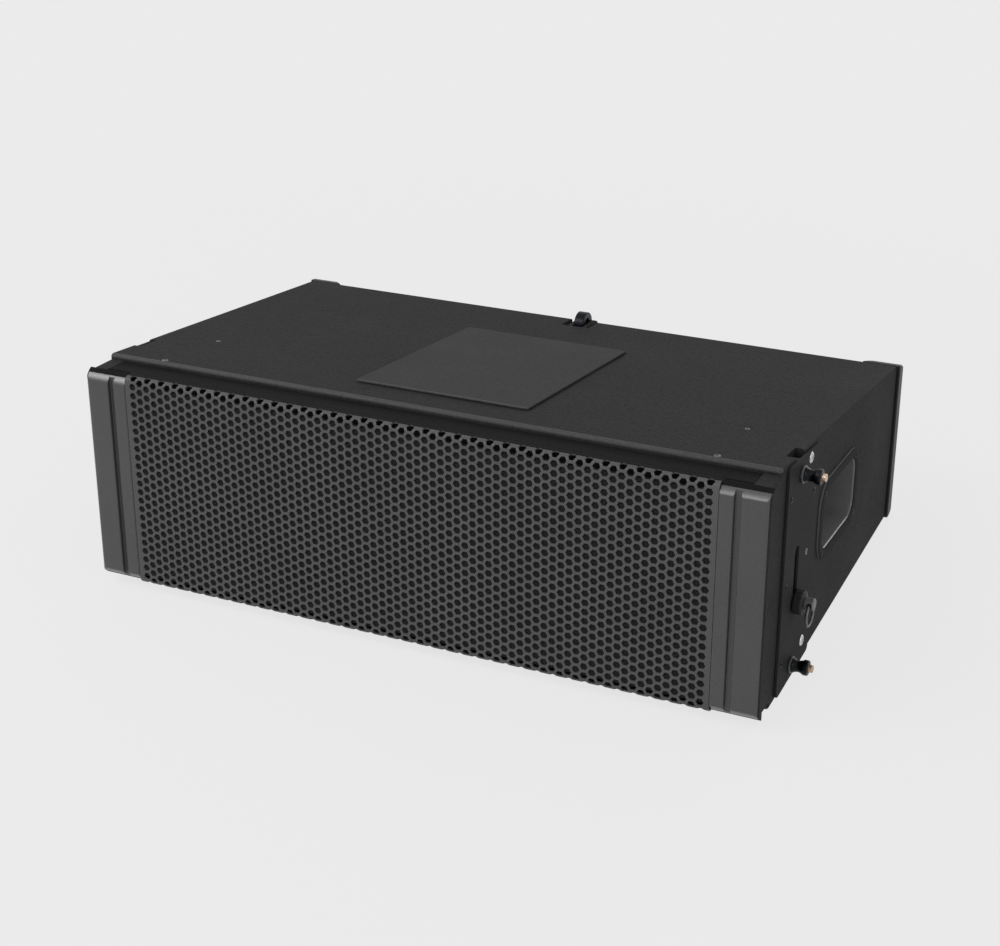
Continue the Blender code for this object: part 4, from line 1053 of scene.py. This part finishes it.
class LOUDSPEAKER_OT_rings(bpy.types.Operator):
    """Wire rings through the lift knobs"""

    bl_idname = "loudspeaker.rings"
    bl_label = "Pull rings"

    def execute(self, context):
        wire, radius = 1.4 * MM, 12 * MM
        section = [(radius + r, h) for r, h in circle(0, 0, wire, 16)]
        for side, _ in SIDES:
            low, high = local_box(f"{side}_pull_ring")
            mesh = turned(section + section[:1], (1, 0, 0), (low + high) / 2, 72)
            mesh.shade_smooth()
            node = f"{side}_pull_ring"
            piece(f"{side}_wire_ring", mesh, "worn zinc plate", f"{side}_ring", "zinc_steel", node)
        return {"FINISHED"}


class LOUDSPEAKER_OT_pins(bpy.types.Operator):
    """Quick-release pins with a waisted grip and a push button"""

    bl_idname = "loudspeaker.pins"
    bl_label = "Pins and buttons"

    def execute(self, context):
        steps = context.scene.loudspeaker.rigging.steps
        for side, sign in SIDES:
            for level, z in (("upper", PIN_Z), ("lower", -PIN_Z)):
                self.build(f"{side}_{level}_pin", sign, Vector((sign * HALF, RIG_Y, z)), 5, 19, steps)
        self.build("rear_pin", 1, REAR_PIN, 4, 27, steps)
        return {"FINISHED"}

    def build(self, name, sign, face, radius, inside, steps):
        """One pin, of a radius and an inside length in millimetres, and the button in its grip."""
        collar, grip, bore = radius + 4, radius + 3, 4.3
        collar_top, waist_foot, waist_tall, waist_depth, length, floor = 3, 4, 11, 2, 20, 14
        shaft = [(0, -inside), (radius - 1, -inside), (radius, 2 - inside), (radius, 0.3)]
        flange = [(collar - 0.5, 0.3), (collar, 0.8), (collar, collar_top - 0.5), (collar - 0.5, collar_top)]
        waist = [(grip - 0.5, collar_top + 0.2)]
        for share in (k / 8 for k in range(9)):
            dent = waist_depth * math.sin(math.pi * share) ** 0.8
            waist.append((grip - dent, waist_foot + waist_tall * share))
        top = [(grip, length - 1.2), (grip - 0.35, length - 0.35), (grip - 1.2, length)]
        well = [(bore + 0.3, length), (bore, length - 0.4), (bore, floor), (0, floor)]
        mesh = softened(turned(mm(shaft + flange + waist + top + well), (sign, 0, 0), face, steps))
        looks = ("black oxide steel", "worn zinc plate")
        made = piece(f"{name}_turned", mesh, looks, name, "pin_black", name)
        second_finish(made, lambda c: (c.x - face.x) * sign < (collar_top + 0.1) * MM)
        cap, cap_foot, cap_top = 4, 17.3, 24.5
        profile = [(0, cap_foot), (cap, cap_foot), (cap, cap_top - 1.2)]
        profile += [*arc((cap - 1, cap_top - 1), 1, 0, 90, 4), (0, cap_top)]
        mesh = softened(turned(mm(profile), (sign, 0, 0), face, steps))
        button = f"{name}_button"
        piece(f"{button}_turned", mesh, "bronze anodised aluminium", button, "button_bronze", button)


class LOUDSPEAKER_OT_rear(bpy.types.Operator):
    """Rear bracket with its cheeks, and the rear link bar"""

    bl_idname = "loudspeaker.rear"
    bl_label = "Rear rigging"

    def execute(self, context):
        self.build_bracket()
        self.build_link()
        return {"FINISHED"}

    def build_bracket(self):
        """A base plate and two cheeks, with a pin hole over a staggered row of holes that set the angle."""
        thick, corner, base_edge, room, base_y = 4 * MM, 5 * MM, 0.6 * MM, 5 * MM, 440 * MM
        cheek_in, cheek_out, cheek_corner, cheek_edge = 6.5 * MM, 12 * MM, 10 * MM, 0.5 * MM
        overlap = 1 * MM
        first_hole, hole_step, stagger = -36 * MM, -9 * MM, 6 * MM
        low, high = local_box("rear_bracket")
        base_high = roof(base_y) - WALL - room
        outline = rounded(rectangle(low.x, -base_high, high.x, base_high), corner)
        base = plate([outline], "XZ", low.y, low.y + thick, base_edge)
        outline = rectangle(low.y + thick - overlap, -high.z, high.y, high.z)
        loops = [rounded(outline, {1: cheek_corner, 2: cheek_corner})]
        loops.append(circle(REAR_PIN.y, REAR_PIN.z, REAR_HOLE))
        for k in range(4):
            y = REAR_PIN.y + (stagger if k % 2 else -stagger)
            loops.append(circle(y, first_hole + hole_step * k, REAR_HOLE, 24))
        cheeks = [plate(loops, "YZ", s * cheek_in, s * cheek_out, cheek_edge) for s in (1, -1)]
        mesh = softened(combined(base, cheeks, "UNION"))
        piece("rear_channel", mesh, "black powder coat", "cabinet", "black_steel", "rear_bracket")

    def build_link(self):
        """The slotted bar between the cheeks, with a hole in its tip."""
        slot_half, tip, edge = 4.5 * MM, 11 * MM, 0.8 * MM
        low, high = local_box("rear_link_bar")
        y, half = REAR_PIN.y, (high.y - low.y) / 2
        foot = REAR_PIN.z - GAP - REAR_TRAVEL
        loops = [
            upright_slot(y, foot, high.z - half, half),
            upright_slot(y, foot, REAR_PIN.z, slot_half),
            circle(y, high.z - tip, REAR_HOLE),
        ]
        mesh = softened(plate(loops, "YZ", low.x, high.x, edge))
        piece("rear_bar", mesh, "black oxide steel", "rear_link", "black_steel", "rear_link_bar")


class LOUDSPEAKER_OT_connectors(bpy.types.Operator):
    """Connector plate with its two round sockets"""

    bl_idname = "loudspeaker.connectors"
    bl_label = "Connectors"

    def execute(self, context):
        sockets = ("input_socket", "link_socket")
        corner, hole, edge = 5 * MM, 12.5 * MM, 0.5 * MM
        low, high = local_box("connector_plate")
        centres = [sum(point.x for point in local_box(name)) / 2 for name in sockets]
        loops = [rounded(rectangle(low.x, low.z, high.x, high.z), corner)]
        loops += [circle(x, 0, hole) for x in centres]
        mesh = softened(plate(loops, "XZ", low.y, high.y, edge))
        piece("socket_plate", mesh, "black powder coat", "cabinet", "black_steel", "connector_plate")
        # The sockets' radii and depths are in millimetres
        barrel, flange, bore, end, floor, lip = 12.2, 16, 11, -26, -22, 3.3
        profile = [(0, end), (barrel, end), (barrel, lip), (flange - 0.4, lip), (flange, lip + 0.4)]
        profile += [(flange, lip + 1.5), (flange - 0.5, lip + 2), (barrel + 0.4, lip + 2)]
        profile += [(barrel, lip + 1.4), (bore + 0.4, lip + 1.4), (bore, lip + 1), (bore, floor), (0, floor)]
        for name, x in zip(sockets, centres):
            mesh = softened(turned(mm(profile), (0, 1, 0), (x, low.y, 0), 56))
            piece(f"{name}_body", mesh, "moulded black nylon", "cabinet", "moulded_black", name)
        return {"FINISHED"}


class LOUDSPEAKER_OT_screws(bpy.types.Operator):
    """Screws of the top and bottom, plates, handles, skids, connectors and rear bracket"""

    bl_idname = "loudspeaker.screws"
    bl_label = "Screws"

    def execute(self, context):
        seed = context.scene.loudspeaker.rigging.screw_seed
        worn, bright, black = self.places()
        self.build("worn_screws", worn, "worn zinc plate", "zinc_steel", seed)
        self.build("bright_screws", bright, "zinc plated steel", "zinc_steel", seed)
        self.build("black_screws", black, "black oxide steel", "black_steel", seed)
        return {"FINISHED"}

    def places(self):
        """Points of the worn, bright and black screws, each with its facing and its size against 8 mm."""
        worn, bright, black = [], [], []
        # The bare places below are in millimetres
        lean, rise = math.sin(TAPER), math.cos(TAPER)
        for up in (1, -1):
            for x, y, size in ((319, 50, 0.9), (-319, 50, 0.9), (316, 150, 0.7), (-316, 150, 0.7)):
                worn.append(((x * MM, y * MM, up * roof(y * MM)), (0, lean, up * rise), size))
        rear = local_box("right_rear_skid")[1].y
        handle_inset = (HANDLE_ROUND + 5 * MM) * math.sqrt(0.5) - HANDLE_ROUND
        for _, s in SIDES:
            for y, z in ((128, 112), (137, -95)):
                bright.append(((s * HALF, y * MM, z * MM), (s, 0, 0), 1.5))
            worn.append(((s * HALF, 132 * MM, 8 * MM), (s, 0, 0), 0.9))
            for y, z in ((68, 90), (68, -4), (68, -90), (146, 70)):
                black.append(((s * HALF, y * MM, z * MM), (s, 0, 0), 0.8))
            for y in (HANDLE_LOW.x - handle_inset, HANDLE_HIGH.x + handle_inset):
                for z in (HANDLE_LOW.y - handle_inset, HANDLE_HIGH.y + handle_inset):
                    black.append(((s * HALF, y, z), (s, 0, 0), 0.6))
            black += [((s * 377 * MM, rear, z * MM), (0, 1, 0), 0.8) for z in (-45, 45)]
        low, high = local_box("connector_plate")
        inset, spread = 6 * MM, 22 * MM
        for x in (low.x + inset, high.x - inset):
            black += [((x, high.y, z), (0, 1, 0), 0.7) for z in (-spread, spread)]
        bracket = local_box("rear_bracket")[0].y + 4 * MM
        black += [((x * MM, bracket, z * MM), (0, 1, 0), 0.9) for x in (-25, 25) for z in (-62, 0, 62)]
        return worn, bright, black

    def build(self, name, spots, look, slot, seed):
        """All screws of a kind as one piece: an 8 mm domed head with a dimple, scaled and set by a tree."""
        dimple = [(0, -0.4), (1.5, -0.4), (1.7, 1.0)]
        dome = [(2.7, 0.9), (3.6, 0.5), (4, -0.1), (4, -0.7), (0, -0.7)]
        screw = helper(turned(mm(dimple + dome), (0, 0, 1), (0, 0, 0), 18))
        screw.data.shade_smooth()
        screw.data.set_sharp_from_angle(angle=SHARP)
        points, facings, sizes = zip(*spots)
        marks = bpy.data.meshes.new("screw marks")
        marks.from_pydata(points, [], [])
        facing = marks.attributes.new("facing", "FLOAT_VECTOR", "POINT")
        facing.data.foreach_set("vector", [value for each in facings for value in each])
        marks.attributes.new("size", "FLOAT", "POINT").data.foreach_set("value", sizes)
        values = {"Screw": screw, "Seed": seed, "Material": finish(look)}
        mesh = screw_mesh(helper(marks), values)
        bpy.data.objects.remove(screw, do_unlink=True)
        piece(name, mesh, look, "cabinet", slot)


class LOUDSPEAKER_OT_drivers(bpy.types.Operator):
    """Finishes of the woofers, the waveguide and its driver, the baffle and the filter board"""

    bl_idname = "loudspeaker.drivers"
    bl_label = "Drivers inside"

    def execute(self, context):
        dress("birch plywood", "front_baffle")
        dress("moulded black nylon", "horn_waveguide", "hf_driver_cap")
        dress("fired ferrite", "hf_driver_body", "left_woofer_magnet", "right_woofer_magnet")
        dress("solder masked laminate", "crossover_board")
        for side, _ in SIDES:
            dress("die cast aluminium", f"{side}_woofer_frame")
            dress("zinc plated steel", f"{side}_woofer_yoke")
            dress("coated paper pulp", f"{side}_woofer_cone", f"{side}_woofer_dust_cap")
            dress("nitrile rubber", f"{side}_woofer_surround")
            dress("resin dipped cotton", f"{side}_woofer_spider")
            dress("enamelled copper wire", f"{side}_voice_coil")
        return {"FINISHED"}


class LOUDSPEAKER_OT_stage(bpy.types.Operator):
    """Pale floor and background, soft studio light and the camera"""

    bl_idname = "loudspeaker.stage"
    bl_label = "Stage"

    def execute(self, context):
        settings = context.scene.loudspeaker.stage
        context.scene.view_settings.view_transform = "Standard"
        self.build_world(context.scene, settings)
        self.build_floor(settings)
        self.lamp("key strip", (-1.3, -1.35, 2.0), (-0.75, 0, 0.1), (2.6, 0.4), settings.key)
        self.lamp("fill panel", (2.2, -1.5, 1.1), (0.3, 0, 0.1), (0.9, 0.9), settings.fill)
        self.lamp("back panel", (0.7, 2.5, 1.1), (0, 0, 0.1), (1.2, 0.8), settings.back)
        self.build_camera(context.scene, settings)
        return {"FINISHED"}

    def seen(self, tree):
        """One where a camera, glossy or clear ray looks, and nought for light that falls on the object."""
        path = add(tree, "ShaderNodeLightPath").outputs
        found = path["Is Camera Ray"]
        for ray in ("Is Glossy Ray", "Is Transmission Ray"):
            found = add(tree, "ShaderNodeMath", {0: found, 1: path[ray]}, operation="MAXIMUM")
        return found

    def build_world(self, scene, settings):
        """Even light on the object; the camera, glossy and clear rays see the plain backdrop."""
        world = bpy.data.worlds.new("studio")
        scene.world = world
        world.use_nodes = True
        tree = world.node_tree
        tree.nodes.clear()
        even = add(tree, "ShaderNodeBackground", {"Color": (1, 1, 1, 1), "Strength": settings.ambient})
        backdrop = add(tree, "ShaderNodeBackground", {"Color": (*settings.backdrop, 1), "Strength": 1.0})
        mixed = add(tree, "ShaderNodeMixShader", {0: self.seen(tree), 1: even, 2: backdrop})
        add(tree, "ShaderNodeOutputWorld", {0: mixed})

    def build_floor(self, settings):
        """A wide sheet under the cabinet's sloping underside that fades into the backdrop at its rim."""
        reach, drop, fade_from, fade_to = 5.0, 1.2 * MM, 0.7, 1.9
        mesh = bpy.data.meshes.new("floor")
        corners = [(x, y, 0) for x, y in rectangle(-reach, -reach, reach, reach)]
        mesh.from_pydata(corners, [], [range(4)])
        front = PLACE @ Vector((0, STEP_Y, -BOX_HALF)) - Vector((0, 0, drop))
        mesh.transform(Matrix.Translation(front) @ Matrix.Rotation(TAPER, 4, "X"))
        look = bpy.data.materials.new("pale paper sweep")
        look.use_nodes = True
        tree = look.node_tree
        colour = (*settings.backdrop, 1)
        paint = {"Base Color": colour, "Roughness": 0.9, "Specular IOR Level": 0.1}
        shaded = feed(tree, tree.nodes["Principled BSDF"], paint)
        plain = add(tree, "ShaderNodeEmission", {"Color": colour, "Strength": 1.0})
        share = {0: self.seen(tree), 1: 1 - settings.shade}
        flat = add(tree, "ShaderNodeMath", share, operation="MULTIPLY")
        paper = add(tree, "ShaderNodeMixShader", {0: flat, 1: shaded, 2: plain})
        place = add(tree, "ShaderNodeTexCoord").outputs["Object"]
        away = add(tree, "ShaderNodeVectorMath", {0: place}, operation="LENGTH").outputs["Value"]
        span = {0: away, 1: fade_from, 2: fade_to}
        fade = add(tree, "ShaderNodeMapRange", span, interpolation_type="SMOOTHSTEP")
        clear = add(tree, "ShaderNodeBsdfTransparent")
        mixed = add(tree, "ShaderNodeMixShader", {0: fade, 1: paper, 2: clear})
        feed(tree, tree.nodes["Material Output"], {0: mixed})
        mesh.materials.append(look)
        helper(mesh, "floor")

    def lamp(self, name, at, towards, size, power):
        data = bpy.data.lights.new(name, "AREA")
        data.shape = "RECTANGLE"
        data.size, data.size_y = size
        data.energy = power
        obj = helper(data, name)
        obj.location = at
        obj.rotation_euler = (Vector(towards) - Vector(at)).to_track_quat("-Z", "Y").to_euler()

    def build_camera(self, scene, settings):
        data = bpy.data.cameras.new("camera")
        data.sensor_width = 36
        data.lens = settings.lens
        data.clip_start = 0.01
        obj = helper(data, "camera")
        elevation, roll, azimuth = settings.aim
        turn = Matrix.Rotation(azimuth, 4, "Z") @ Matrix.Rotation(math.pi / 2 - elevation, 4, "X")
        obj.matrix_world = Matrix.Translation(settings.camera) @ turn @ Matrix.Rotation(roll, 4, "Z")
        scene.camera = obj


OPERATORS = (
    LOUDSPEAKER_OT_stage,
    LOUDSPEAKER_OT_cabinet,
    LOUDSPEAKER_OT_trims,
    LOUDSPEAKER_OT_grille,
    LOUDSPEAKER_OT_foam,
    LOUDSPEAKER_OT_handles,
    LOUDSPEAKER_OT_skids,
    LOUDSPEAKER_OT_plates,
    LOUDSPEAKER_OT_links,
    LOUDSPEAKER_OT_rings,
    LOUDSPEAKER_OT_pins,
    LOUDSPEAKER_OT_rear,
    LOUDSPEAKER_OT_connectors,
    LOUDSPEAKER_OT_screws,
    LOUDSPEAKER_OT_drivers,
)


class LOUDSPEAKER_PT_panel(bpy.types.Panel):
    """Sidebar list of the loudspeaker's settings and pieces"""

    bl_idname = "LOUDSPEAKER_PT_panel"
    bl_label = "Loudspeaker"
    bl_space_type = "VIEW_3D"
    bl_region_type = "UI"
    bl_category = "Loudspeaker"

    def draw(self, context):
        settings = context.scene.loudspeaker
        for group in (settings.cabinet, settings.front, settings.rigging, settings.stage):
            box = self.layout.box()
            for key in group.bl_rna.properties.keys():
                if key not in ("rna_type", "name"):
                    box.prop(group, key)
        for operator in OPERATORS:
            self.layout.operator(operator.bl_idname)


CLASSES = (
    CabinetSettings,
    FrontSettings,
    RiggingSettings,
    StageSettings,
    LoudspeakerSettings,
    *OPERATORS,
    LOUDSPEAKER_PT_panel,
)


def register():
    for each in CLASSES:
        bpy.utils.register_class(each)
    bpy.types.Scene.loudspeaker = bpy.props.PointerProperty(type=LoudspeakerSettings)


def unregister():
    del bpy.types.Scene.loudspeaker
    for each in reversed(CLASSES):
        bpy.utils.unregister_class(each)


def main():
    register()
    for each in OPERATORS:
        group, name = each.bl_idname.split(".")
        getattr(getattr(bpy.ops, group), name)()


if __name__ == "__main__":
    main()
